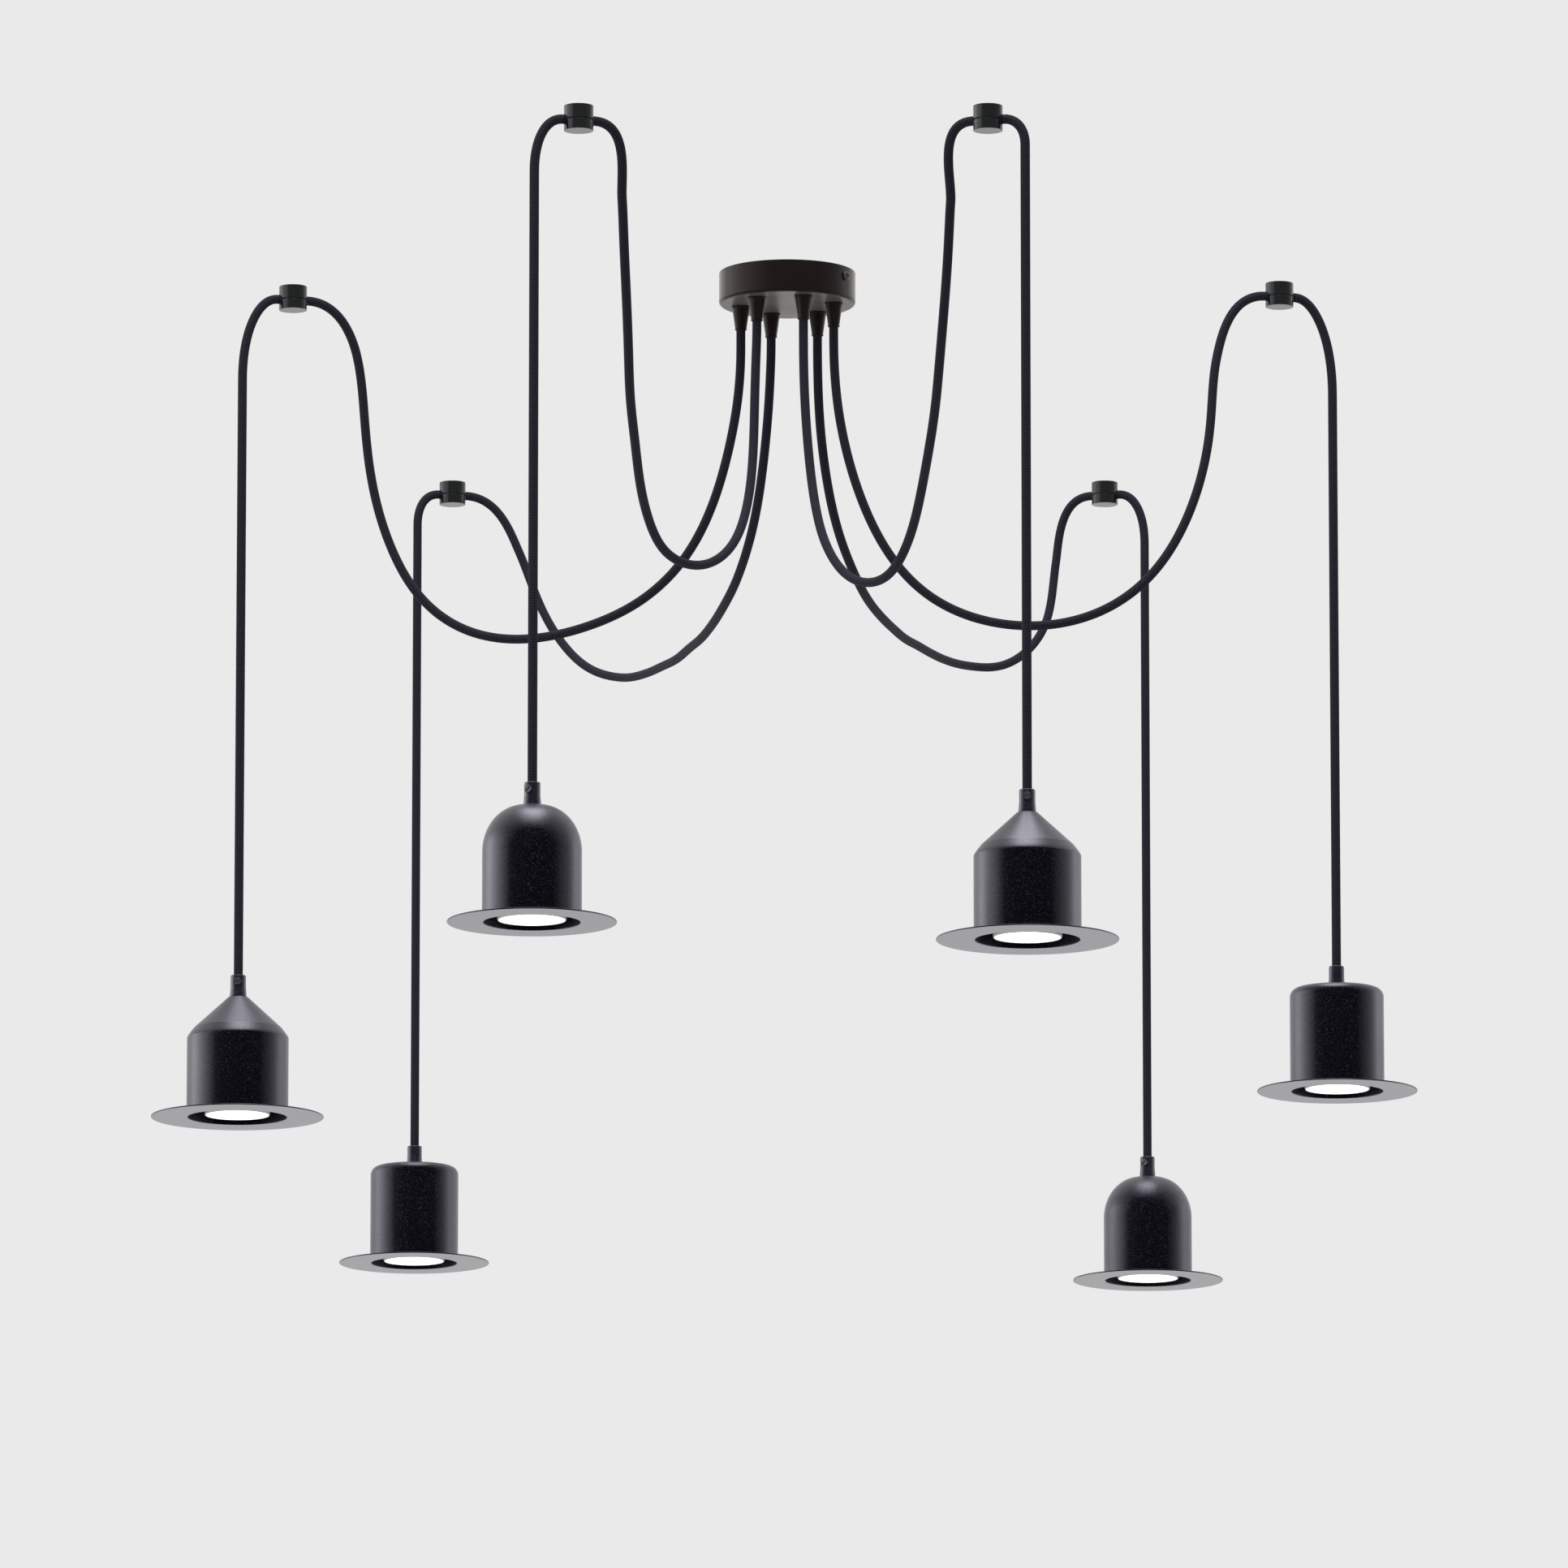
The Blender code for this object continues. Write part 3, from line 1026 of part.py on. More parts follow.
def main():
    clear_scene()
    finishes = {
        "canopy": make_material("satin_black_metal", (0.030, 0.026, 0.024), 0.38, 0.35),
        "steel": make_material("zinc_plated_steel", (0.55, 0.56, 0.58), 0.35, 0.90),
        "screw": make_material("blackened_screw", (0.045, 0.045, 0.050), 0.40, 0.60),
        "block": make_material("white_polyamide", (0.80, 0.79, 0.75), 0.45, 0.0),
        "grip": make_material("black_nylon", (0.018, 0.017, 0.020), 0.42, 0.0),
        "hook": make_material("gloss_black_hook", (0.016, 0.020, 0.018), 0.22, 0.20),
        "cord": make_material("black_textile_cord", (0.014, 0.013, 0.024), 0.85, 0.0),
        "clamp": make_material("black_collar", (0.020, 0.020, 0.028), 0.35, 0.30),
        "shade": make_material("black_powder_coat", (0.018, 0.018, 0.026), 0.55, 0.25),
        "ceramic": make_material("white_ceramic", (0.78, 0.76, 0.72), 0.30, 0.0),
        "bulb": make_material("white_lamp", (0.90, 0.90, 0.88), 0.35, 0.0),
    }
    make_canopy(finishes["canopy"])
    make_bracket(finishes["steel"])
    make_terminal_block(finishes["block"])
    for number in range(2):
        make_side_screw(number, finishes["screw"])
    for number in range(len(LAMPS)):
        make_grip(number, finishes["grip"])
        make_hook(number, finishes["hook"])
        make_swag(number, finishes["cord"])
        make_lamp(number, finishes)


main()
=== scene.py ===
"""The looks of a multi-light pendant light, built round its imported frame.

One round canopy feeds six textile cords. Each cord swags out to a hook on the ceiling, passes
through it, arches over and drops to a spun metal hat with a lit reflector lamp in it. Everything
is in metres, in the frame's own coordinates: the ceiling is z = 0, +Z is up and +Y is away from
the camera.
"""

import logging
import math
from dataclasses import dataclass
from enum import Enum

import bmesh
import bpy
from mathutils import Matrix, Vector


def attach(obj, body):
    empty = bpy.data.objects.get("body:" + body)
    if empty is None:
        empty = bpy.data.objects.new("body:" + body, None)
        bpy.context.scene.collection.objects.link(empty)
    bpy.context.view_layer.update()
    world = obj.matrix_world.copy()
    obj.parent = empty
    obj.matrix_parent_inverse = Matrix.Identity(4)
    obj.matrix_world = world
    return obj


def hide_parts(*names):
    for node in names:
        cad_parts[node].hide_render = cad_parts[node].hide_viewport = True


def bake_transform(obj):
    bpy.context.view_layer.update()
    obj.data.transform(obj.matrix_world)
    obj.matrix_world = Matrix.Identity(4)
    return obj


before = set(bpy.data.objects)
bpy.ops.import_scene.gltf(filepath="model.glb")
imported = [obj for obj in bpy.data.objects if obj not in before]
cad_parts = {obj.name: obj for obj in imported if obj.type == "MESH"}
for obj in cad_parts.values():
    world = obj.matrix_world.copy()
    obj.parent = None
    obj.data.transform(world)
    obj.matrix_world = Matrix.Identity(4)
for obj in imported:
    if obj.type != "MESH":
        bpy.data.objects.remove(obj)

Socket = bpy.types.NodeSocket
Piece = bpy.types.Object
Finish = bpy.types.Material
Triple = tuple[float, float, float]

MM = 0.001
QUARTER = math.radians(90.0)
UPRIGHT = Matrix.Identity(4)
SIDEWAYS = Matrix.Rotation(QUARTER, 4, "Y")
CEILING_BODY = "ceiling_set"

log = logging.getLogger("pendant")


class HatForm(Enum):
    """The three forms of hat that hang on the cords."""

    DOME = "dome"
    CONE = "cone"
    DRUM = "drum"


# Node trees

# Where nearly all of a noise's values lie.
NOISE_SPAN = (0.3, 0.7)
# How slantingly a surface is seen, as Layer Weight's Facing gives it, which is 1 - cos(angle):
# from 27 to 60 degrees, and from 63 to 80.
SLANT_SPAN = (0.11, 0.50)
GRAZE_SPAN = (0.55, 0.83)


class NodeMaker:
    """A node tree, with short ways to add nodes and to join them."""

    def __init__(self, tree: bpy.types.NodeTree, prefix: str) -> None:
        """Keep the tree.

        Args:
            tree: where the nodes go.
            prefix: the start that its nodes' types share.
        """
        self.tree = tree
        self.prefix = prefix

    def put(self, slot: Socket, value: object) -> None:
        """Link an output to an input, or set the input to a value.

        Args:
            slot: the input.
            value: an output of another node, or a plain value.
        """
        if isinstance(value, Socket):
            self.tree.links.new(value, slot)
        else:
            slot.default_value = value

    def feed(self, node: bpy.types.Node, **inputs: object) -> None:
        """Give a node's inputs an output or a value each; an underscore stands for a space."""
        for key, value in inputs.items():
            self.put(node.inputs[key.replace("_", " ")], value)

    def node(self, kind: str, settings: dict[str, object] | None = None,
             **inputs: object) -> bpy.types.Node:
        """Add a node.

        Args:
            kind: its type, without the shared start.
            settings: properties to set on it.
            **inputs: what its inputs get, as for feed.

        Returns:
            The new node.
        """
        made = self.tree.nodes.new(self.prefix + kind)
        for key, value in (settings or {}).items():
            setattr(made, key, value)
        self.feed(made, **inputs)
        return made


class ShaderMaker(NodeMaker):
    """The nodes of a material or of the world."""

    def __init__(self, tree: bpy.types.NodeTree) -> None:
        """Keep the tree."""
        super().__init__(tree, "ShaderNode")

    def math(self, operation: str, first: object, second: object = 0.0) -> Socket:
        """Add a Math node.

        Args:
            operation: what it does with its operands.
            first: an output or a number.
            second: an output or a number.

        Returns:
            The result.
        """
        made = self.node("Math", {"operation": operation})
        self.put(made.inputs[0], first)
        self.put(made.inputs[1], second)
        return made.outputs["Value"]

    def spread(self, source: Socket, low: float, high: float,
               start: float = 0.0, end: float = 1.0) -> Socket:
        """Map a value from start..end to low..high.

        Args:
            source: the value to map.
            low: what start becomes.
            high: what end becomes.
            start: the lower end of the source.
            end: the upper end of the source.

        Returns:
            The mapped value.
        """
        made = self.node("MapRange", Value=source, From_Min=start, From_Max=end, To_Min=low,
                         To_Max=high)
        return made.outputs["Result"]

    def mixed(self, share: Socket, first: Socket, second: Socket) -> Socket:
        """Mix two shaders.

        Args:
            share: 0 for all of the first and 1 for all of the second.
            first: a shader.
            second: a shader.

        Returns:
            The mixed shader.
        """
        mix = self.node("MixShader")
        for slot, value in zip(mix.inputs, (share, first, second)):
            self.put(slot, value)
        return mix.outputs["Shader"]

    def backdrop_rays(self) -> Socket:
        """Tell apart the rays that show the backdrop: seen, glossy or let through.

        Returns:
            1 for those rays, and 0 for the rest.
        """
        path = self.node("LightPath").outputs
        result = path["Is Camera Ray"]
        for name in ("Is Glossy Ray", "Is Transmission Ray"):
            result = self.math("MAXIMUM", result, path[name])
        return result


class NodeSheet(ShaderMaker):
    """The nodes of one finish."""

    def __init__(self, name: str) -> None:
        """Start a material.

        Args:
            name: the material's name.
        """
        self.material = bpy.data.materials.new(name)
        self.material.use_nodes = True
        super().__init__(self.material.node_tree)
        self.shader = self.tree.nodes["Principled BSDF"]

    def set(self, **inputs: object) -> None:
        """Give the shader's own sockets an output or a value each."""
        self.feed(self.shader, **inputs)

    def noise(self, scale: float, detail: float, roughness: float = 0.5) -> Socket:
        """Add noise on the object's own place.

        Args:
            scale: how many cells there are to a metre.
            detail: how many finer layers it has.
            roughness: how strong the finer layers are.

        Returns:
            The noise's factor.
        """
        made = self.node("TexNoise", Scale=scale, Detail=detail, Roughness=roughness,
                         Vector=self.node("TexCoord").outputs["Object"])
        return made.outputs["Fac"]

    def glance_gloss(self, square: float, slanting: float, grazing: float) -> None:
        """Make the surface glossier the more slantingly it is seen.

        The socket also keeps a middle value, for where its link isn't read.

        Args:
            square: the Specular IOR Level seen square on.
            slanting: the level at 60 degrees from square.
            grazing: the level at 80 degrees from square and beyond.
        """
        facing = self.node("LayerWeight", Blend=0.5).outputs["Facing"]
        near = self.spread(facing, square, slanting, *SLANT_SPAN)
        far = self.spread(facing, 0.0, grazing - slanting, *GRAZE_SPAN)
        self.set(Specular_IOR_Level=(square + slanting) / 2.0)
        self.set(Specular_IOR_Level=self.math("ADD", near, far))

    def tint(self, factor: Socket, dark: Triple, light: Triple) -> None:
        """Colour the surface between two colours.

        Args:
            factor: 0 for the dark colour and 1 for the light one.
            dark: the colour at 0.
            light: the colour at 1.
        """
        ramp = self.node("ValToRGB", Fac=factor)
        for element, colour in zip(ramp.color_ramp.elements, (dark, light)):
            element.color = (*colour, 1.0)
        self.set(Base_Color=ramp.outputs["Color"])

    def relief(self, height: Socket, strength: float, depth: float) -> None:
        """Raise the surface by a height pattern.

        Args:
            height: the pattern.
            strength: how much of it shows.
            depth: its full height in metres.
        """
        bump = self.node("Bump", Strength=strength, Distance=depth, Height=height)
        self.set(Normal=bump.outputs["Normal"])


class NodeTree(NodeMaker):
    """A Geometry Nodes tree with named inputs that ends in Realize Instances and Set Material."""

    def __init__(self, name: str, **inputs: str) -> None:
        """Start the tree.

        Args:
            name: the tree's name.
            **inputs: the name and kind of each input between the geometry and the finish.
        """
        super().__init__(bpy.data.node_groups.new(name, "GeometryNodeTree"), "GeometryNode")
        self.sockets: dict[str, str] = {}
        for title, kind in {"Geometry": "Geometry", **inputs, "Finish": "Material"}.items():
            self.sockets[title] = self.interface_socket(title, "INPUT", kind)
        self.interface_socket("Geometry", "OUTPUT", "Geometry")
        self.entry = self.tree.nodes.new("NodeGroupInput").outputs
        self.exit = self.tree.nodes.new("NodeGroupOutput")

    def interface_socket(self, name: str, side: str, kind: str) -> str:
        """Add a socket to the tree's outside.

        Args:
            name: the socket's name.
            side: INPUT or OUTPUT.
            kind: its type, without the shared start.

        Returns:
            The socket's identifier.
        """
        socket = self.tree.interface.new_socket(name=name, in_out=side,
                                                socket_type="NodeSocket" + kind)
        return socket.identifier

    def stored(self, geometry: Socket, name: str, value: Socket, kind: str = "FLOAT",
               domain: str = "POINT") -> Socket:
        """Store a value on a geometry.

        Args:
            geometry: what carries the value.
            name: the attribute's name.
            value: the value.
            kind: its data type.
            domain: what has a value each.

        Returns:
            The geometry with the attribute.
        """
        made = self.node("StoreNamedAttribute", {"data_type": kind, "domain": domain},
                         Geometry=geometry, Name=name, Value=value)
        return made.outputs["Geometry"]

    def read(self, name: str, kind: str = "FLOAT") -> Socket:
        """Read a stored attribute."""
        made = self.node("InputNamedAttribute", {"data_type": kind}, Name=name)
        return made.outputs["Attribute"]

    def close(self, geometry: Socket) -> None:
        """End the tree: real meshes with their finish on.

        Args:
            geometry: what the tree has made.
        """
        real = self.node("RealizeInstances", Geometry=geometry)
        finish = self.node("SetMaterial", Geometry=real.outputs["Geometry"],
                           Material=self.entry["Finish"])
        self.feed(self.exit, Geometry=finish.outputs["Geometry"])

    def run(self, base: Piece, **values: object) -> None:
        """Run the tree on a base object and leave it a plain mesh.

        Args:
            base: the object that the tree starts from.
            **values: the tree's inputs.
        """
        modifier = base.modifiers.new(self.tree.name, "NODES")
        modifier.node_group = self.tree
        for key, value in values.items():
            modifier[self.sockets[key]] = value
        freeze(base)


def sleeve_tree() -> NodeTree:
    """Make the tree that sweeps a woven sleeve along a line of points, with its UV map.

    Returns:
        The tree, with the sleeve's radius and the number of its sides as inputs.
    """
    sleeve = NodeTree("cord_sleeve", Radius="Float", Sides="Int")
    line = sleeve.node("MeshToCurve", Mesh=sleeve.entry["Geometry"])
    along = sleeve.node("SplineParameter")
    line = sleeve.stored(line.outputs["Curve"], "along", along.outputs["Length"])
    section = sleeve.node("CurveArc", Sweep_Angle=math.tau, Resolution=sleeve.entry["Sides"],
                          Radius=sleeve.entry["Radius"])
    around = sleeve.node("SplineParameter")
    section = sleeve.stored(section.outputs["Curve"], "around", around.outputs["Factor"])
    sweep = sleeve.node("CurveToMesh", Curve=line, Profile_Curve=section)
    map_point = sleeve.tree.nodes.new("ShaderNodeCombineXYZ")
    sleeve.feed(map_point, X=sleeve.read("around"), Y=sleeve.read("along"))
    unfolded = sleeve.stored(sweep.outputs["Mesh"], "UVMap", map_point.outputs["Vector"],
                             "FLOAT2", "CORNER")
    seam = sleeve.node("MergeByDistance", Geometry=unfolded, Distance=SEAM_GAP)
    sleeve.close(seam.outputs["Geometry"])
    return sleeve


def repeat_tree() -> NodeTree:
    """Make the tree that sets one piece on every point, turned by the point's own turn.

    Returns:
        The tree, with the piece as an input.
    """
    repeat = NodeTree("repeat_on_places", Pattern="Object")
    pattern = repeat.node("ObjectInfo", {"transform_space": "ORIGINAL"},
                          Object=repeat.entry["Pattern"], As_Instance=True)
    spin = repeat.tree.nodes.new("FunctionNodeEulerToRotation")
    repeat.feed(spin, Euler=repeat.read("turn", "FLOAT_VECTOR"))
    scatter = repeat.node("InstanceOnPoints", Points=repeat.entry["Geometry"],
                          Instance=pattern.outputs["Geometry"],
                          Rotation=spin.outputs["Rotation"])
    repeat.close(scatter.outputs["Instances"])
    return repeat


# Finishes


@dataclass(frozen=True)
class PowderCoat:
    """Fine-grained powder coat on metal, as on the hats and the collars."""

    name: str
    dark: Triple = (0.0012, 0.0011, 0.0030)
    light: Triple = (0.0360, 0.0340, 0.0520)
    grain: float = 1300.0
    fleck: float = 1150.0
    fleck_span: tuple[float, float] = (0.58, 0.72)
    grain_depth: float = 0.26 * MM
    grain_strength: float = 0.50
    cloud: float = 38.0
    smoothest: float = 0.27
    roughest: float = 0.37
    gloss: float = 0.04
    slant_gloss: float = 0.95
    graze_gloss: float = 0.95
    bloom: float = 0.16

    def make(self) -> Finish:
        """Make the finish.

        Returns:
            The coat's material.
        """
        sheet = NodeSheet(self.name)
        grain = sheet.noise(self.grain, detail=2.0, roughness=0.6)
        cloud = sheet.noise(self.cloud, detail=3.0)
        flecks = sheet.spread(sheet.noise(self.fleck, detail=1.0), 0.0, 1.0, *self.fleck_span)
        sheet.tint(flecks, self.dark, self.light)
        halves = [sheet.math("MULTIPLY", part, 0.5) for part in (grain, cloud)]
        wear = sheet.math("ADD", *halves)
        sheet.relief(grain, self.grain_strength, self.grain_depth)
        sheet.glance_gloss(self.gloss, self.slant_gloss, self.graze_gloss)
        sheet.set(Roughness=sheet.spread(wear, self.smoothest, self.roughest, *NOISE_SPAN),
                  Sheen_Weight=self.bloom, Sheen_Roughness=0.34,
                  Specular_Tint=(0.84, 0.83, 1.0, 1.0), Sheen_Tint=(0.80, 0.83, 1.0, 1.0))
        return sheet.material


@dataclass(frozen=True)
class SatinLacquer:
    """Smooth lacquer or enamel, as on the canopy and the hooks."""

    name: str
    colour: Triple
    roughness: float
    gloss: float
    bloom: float
    glow: Triple
    graze_gloss: float = 1.0
    orange_peel: float = 260.0
    peel_depth: float = 0.02 * MM
    patch_share: float = 0.08
    darker: float = 0.86
    lighter: float = 1.14
    smoother: float = 0.90
    rougher: float = 1.12
    slant_share: float = 1.6

    def make(self) -> Finish:
        """Make the finish.

        Returns:
            The lacquer's material.
        """
        sheet = NodeSheet(self.name)
        peel = sheet.noise(self.orange_peel, detail=2.0)
        patch = sheet.noise(self.orange_peel * self.patch_share, detail=3.0)
        low = tuple(value * self.darker for value in self.colour)
        high = tuple(min(1.0, value * self.lighter) for value in self.colour)
        rough = sheet.spread(patch, self.roughness * self.smoother,
                             self.roughness * self.rougher, *NOISE_SPAN)
        sheet.tint(sheet.spread(patch, 0.0, 1.0, *NOISE_SPAN), low, high)
        sheet.relief(peel, strength=0.12, depth=self.peel_depth)
        sheet.glance_gloss(self.gloss, self.gloss * self.slant_share, self.graze_gloss)
        sheet.set(Roughness=rough, Specular_Tint=(*self.glow, 1.0), Sheen_Weight=self.bloom,
                  Sheen_Roughness=0.3, Sheen_Tint=(*self.glow, 1.0))
        return sheet.material


@dataclass(frozen=True)
class BraidedTextile:
    """The woven sleeve of a cord, on the sleeve's own UV map: round it, and along it in metres."""

    name: str = "cord_braid"
    columns: float = 10.0
    pitch: float = 1.9 * MM
    lean: float = 1.5
    dark: Triple = (0.0022, 0.0021, 0.0036)
    light: Triple = (0.0400, 0.0360, 0.0600)
    yarn_depth: float = 0.30 * MM
    fuzz: float = 5200.0

    def make(self) -> Finish:
        """Make the finish: columns of small chevrons, each a yarn that leans, coloured with painted
        light on the crests and painted shade in the furrows.

        Returns:
            The braid's material.
        """
        sheet = NodeSheet(self.name)
        uv = sheet.node("UVMap", {"uv_map": "UVMap"}).outputs["UV"]
        place = sheet.node("SeparateXYZ", Vector=uv).outputs
        column = sheet.math("FRACT", sheet.math("MULTIPLY", place["X"], self.columns))
        middle = sheet.math("ABSOLUTE", sheet.math("SUBTRACT", column, 0.5))
        run = sheet.math("MULTIPLY", place["Y"], math.tau / self.pitch)
        turn = sheet.math("MULTIPLY", middle, math.tau * self.lean)
        yarn = sheet.spread(sheet.math("SINE", sheet.math("ADD", run, turn)), low=0.0, high=1.0,
                            start=-0.9, end=0.9)
        furrow = sheet.spread(middle, low=1.0, high=0.25, start=0.36, end=0.50)
        spine = sheet.spread(middle, low=0.45, high=1.0, start=0.0, end=0.10)
        mound = sheet.math("MULTIPLY", yarn, sheet.math("MULTIPLY", furrow, spine))
        fuzz = sheet.math("MULTIPLY", sheet.noise(self.fuzz, detail=2.0, roughness=0.7), 0.25)
        # Painted light and shade: the colour is lighter on each yarn's crest and darker in the
        # furrows between the columns and along the line where a column's yarns meet.
        sheet.tint(sheet.math("POWER", mound, 1.3), self.dark, self.light)
        sheet.relief(sheet.math("ADD", mound, fuzz), strength=0.60, depth=self.yarn_depth)
        sheet.set(Roughness=0.80, Specular_IOR_Level=0.12, Sheen_Weight=0.02, Sheen_Roughness=0.4,
                  Sheen_Tint=(0.70, 0.66, 0.90, 1.0))
        return sheet.material


@dataclass(frozen=True)
class PlatedSteel:
    """Zinc-plated or blackened steel with fine rolling marks."""

    name: str
    colour: Triple
    roughness: float
    spangle: float = 420.0
    spangle_depth: float = 0.02 * MM
    rub: float = 95.0
    darker: float = 0.80
    smoother: float = 0.8
    rougher: float = 1.3

    def make(self) -> Finish:
        """Make the finish.

        Returns:
            The plating's material.
        """
        sheet = NodeSheet(self.name)
        spangle = sheet.noise(self.spangle, detail=4.0, roughness=0.6)
        rub = sheet.noise(self.rub, detail=2.0)
        low = tuple(value * self.darker for value in self.colour)
        rough = sheet.spread(rub, self.roughness * self.smoother, self.roughness * self.rougher,
                             *NOISE_SPAN)
        sheet.tint(sheet.spread(spangle, 0.0, 1.0, start=0.35, end=0.65), low, self.colour)
        sheet.relief(spangle, strength=0.10, depth=self.spangle_depth)
        sheet.set(Roughness=rough, Metallic=0.9)
        return sheet.material


@dataclass(frozen=True)
class Moulding:
    """Moulded plastic or fired ceramic, with a faint cloud and a fine skin."""

    name: str
    colour: Triple
    roughness: float
    skin: float = 900.0
    skin_depth: float = 0.03 * MM
    cloud: float = 60.0
    darker: float = 0.90
    smoother: float = 0.92
    rougher: float = 1.10

    def make(self) -> Finish:
        """Make the finish.

        Returns:
            The moulding's material.
        """
        sheet = NodeSheet(self.name)
        cloud = sheet.noise(self.cloud, detail=3.0)
        skin = sheet.noise(self.skin, detail=2.0)
        low = tuple(value * self.darker for value in self.colour)
        rough = sheet.spread(skin, self.roughness * self.smoother, self.roughness * self.rougher,
                             *NOISE_SPAN)
        sheet.tint(sheet.spread(cloud, 0.0, 1.0, *NOISE_SPAN), low, self.colour)
        sheet.relief(skin, strength=0.15, depth=self.skin_depth)
        sheet.set(Roughness=rough)
        return sheet.material


@dataclass(frozen=True)
class LitLens:
    """The lit face of a lamp: frosted, white and even."""

    name: str = "lit_lens"
    colour: Triple = (1.0, 0.985, 0.96)
    strength: float = 2.2
    frost: float = 700.0
    darker: float = 0.94

    def make(self) -> Finish:
        """Make the finish.

        Returns:
            The lens's material.
        """
        sheet = NodeSheet(self.name)
        low = tuple(value * self.darker for value in self.colour)
        sheet.tint(sheet.noise(self.frost, detail=2.0), low, self.colour)
        sheet.set(Roughness=0.45, Emission_Strength=self.strength,
                  Emission_Color=(*self.colour, 1.0))
        return sheet.material


@dataclass(frozen=True)
class Finishes:
    """Every finish of the light."""

    hat: Finish
    underside: Finish
    canopy: Finish
    collar: Finish
    hook: Finish
    braid: Finish
    grip: Finish
    dark_screw: Finish
    zinc: Finish
    polyamide: Finish
    ceramic: Finish
    lamp_body: Finish
    lens: Finish


def make_finishes() -> Finishes:
    """Make each finish once.

    Returns:
        The finishes of the whole light.
    """
    return Finishes(
        hat=PowderCoat("hat_powder_coat").make(),
        underside=PowderCoat("brim_underside_coat", fleck=1300.0, grain_strength=0.10,
                             smoothest=0.12, roughest=0.17, graze_gloss=1.8).make(),
        canopy=SatinLacquer("canopy_lacquer", (0.0075, 0.0040, 0.0042), 0.36, gloss=0.10,
                            bloom=0.40, glow=(1.0, 0.92, 0.84)).make(),
        collar=PowderCoat("collar_powder_coat", (0.0150, 0.0140, 0.0230),
                          (0.0620, 0.0600, 0.0850), grain_strength=0.25, bloom=0.2).make(),
        hook=SatinLacquer("hook_enamel", (0.0046, 0.0064, 0.0052), 0.20, gloss=0.20, bloom=0.15,
                          glow=(0.92, 0.92, 1.0), graze_gloss=1.6).make(),
        braid=BraidedTextile().make(),
        grip=SatinLacquer("grip_nylon", (0.0070, 0.0044, 0.0044), 0.32, gloss=0.11, bloom=0.0,
                          glow=(1.0, 0.86, 0.82), graze_gloss=1.2).make(),
        dark_screw=PlatedSteel("blackened_steel", (0.060, 0.058, 0.066), 0.34).make(),
        zinc=PlatedSteel("zinc_plate", (0.50, 0.51, 0.53), 0.38).make(),
        polyamide=Moulding("white_polyamide", (0.80, 0.79, 0.75), 0.45).make(),
        ceramic=Moulding("glazed_ceramic", (0.80, 0.78, 0.74), 0.28, skin=300.0).make(),
        lamp_body=Moulding("lamp_body_white", (0.82, 0.82, 0.80), 0.38).make(),
        lens=LitLens().make(),
    )


# Shaping

# The gap that a piece keeps from what it sits on, so that no two faces share a plane.
SEAT_GAP = 0.3 * MM
# The gap within which the two edges of a sleeve's seam become one.
SEAM_GAP = 0.002 * MM
# A corner nearer than this to the axis is a pole.
POLE = 0.0001 * MM
# The share of a side that the rounding of one of its corners may take.
SIDE_SHARE = 0.48
# How far a side reaches, in margins, before it gets points that keep it flat.
LONG_SIDE = 5.0
# The sharpest angle that is shaded round.
ROUND_ANGLE = math.radians(42.0)
# The radii that small edges are rounded to.
CRISP = 0.1 * MM
FINE = 0.2 * MM
TRIM = 0.25 * MM
EASY = 0.3 * MM
SOFT = 0.4 * MM


@dataclass(frozen=True)
class Corner:
    """One corner of a turned outline, and the radius that rounds it off."""

    across: float
    height: float
    rounding: float = 0.0


def rounded_outline(corners: list[Corner], arc_steps: int) -> list[Vector]:
    """Round off the corners of a closed outline.

    Args:
        corners: the outline's corners in order, the last joining the first.
        arc_steps: how many steps each rounded corner gets.

    Returns:
        Points as (distance from the axis, height).
    """
    places = [Vector((corner.across, corner.height)) for corner in corners]
    points = []
    for index, (corner, here) in enumerate(zip(corners, places)):
        if corner.rounding <= 0.0:
            points.append(here)
            continue
        back = places[index - 1] - here
        ahead = places[(index + 1) % len(places)] - here
        reach = corner.rounding / math.tan(back.angle(ahead) / 2.0)
        reach = min(reach, back.length * SIDE_SHARE, ahead.length * SIDE_SHARE)
        start = here + back.normalized() * reach
        end = here + ahead.normalized() * reach
        for step in range(arc_steps + 1):
            t = step / arc_steps
            points.append(start * (1.0 - t) ** 2 + here * (2.0 * t * (1.0 - t)) + end * t ** 2)
    return points


def held_edges(points: list[Vector], margin: float) -> list[Vector]:
    """Add a point near both ends of each long side, so that flats stay flat when shaded round.

    Args:
        points: a closed outline.
        margin: how far from the ends the new points lie.

    Returns:
        The fuller outline.
    """
    fuller = []
    for point, after in zip(points, points[1:] + points[:1]):
        fuller.append(point)
        side = after - point
        if side.length > LONG_SIDE * margin:
            fuller.append(point + side.normalized() * margin)
            fuller.append(after - side.normalized() * margin)
    return fuller


def shown(name: str, mesh: bpy.types.Mesh) -> Piece:
    """Put a mesh in the scene.

    Args:
        name: the new object's name.
        mesh: its mesh.

    Returns:
        The object, at the origin.
    """
    piece = bpy.data.objects.new(name, mesh)
    bpy.context.scene.collection.objects.link(piece)
    return piece


def settled(name: str, bm: bmesh.types.BMesh, seat: Matrix) -> bpy.types.Mesh:
    """Seat a shape and face it outwards.

    Args:
        name: the new mesh's name.
        bm: the shape, which is used up.
        seat: where it goes.

    Returns:
        The mesh.
    """
    bm.transform(seat)
    bmesh.ops.recalc_face_normals(bm, faces=bm.faces)
    mesh = bpy.data.meshes.new(name)
    bm.to_mesh(mesh)
    bm.free()
    return mesh


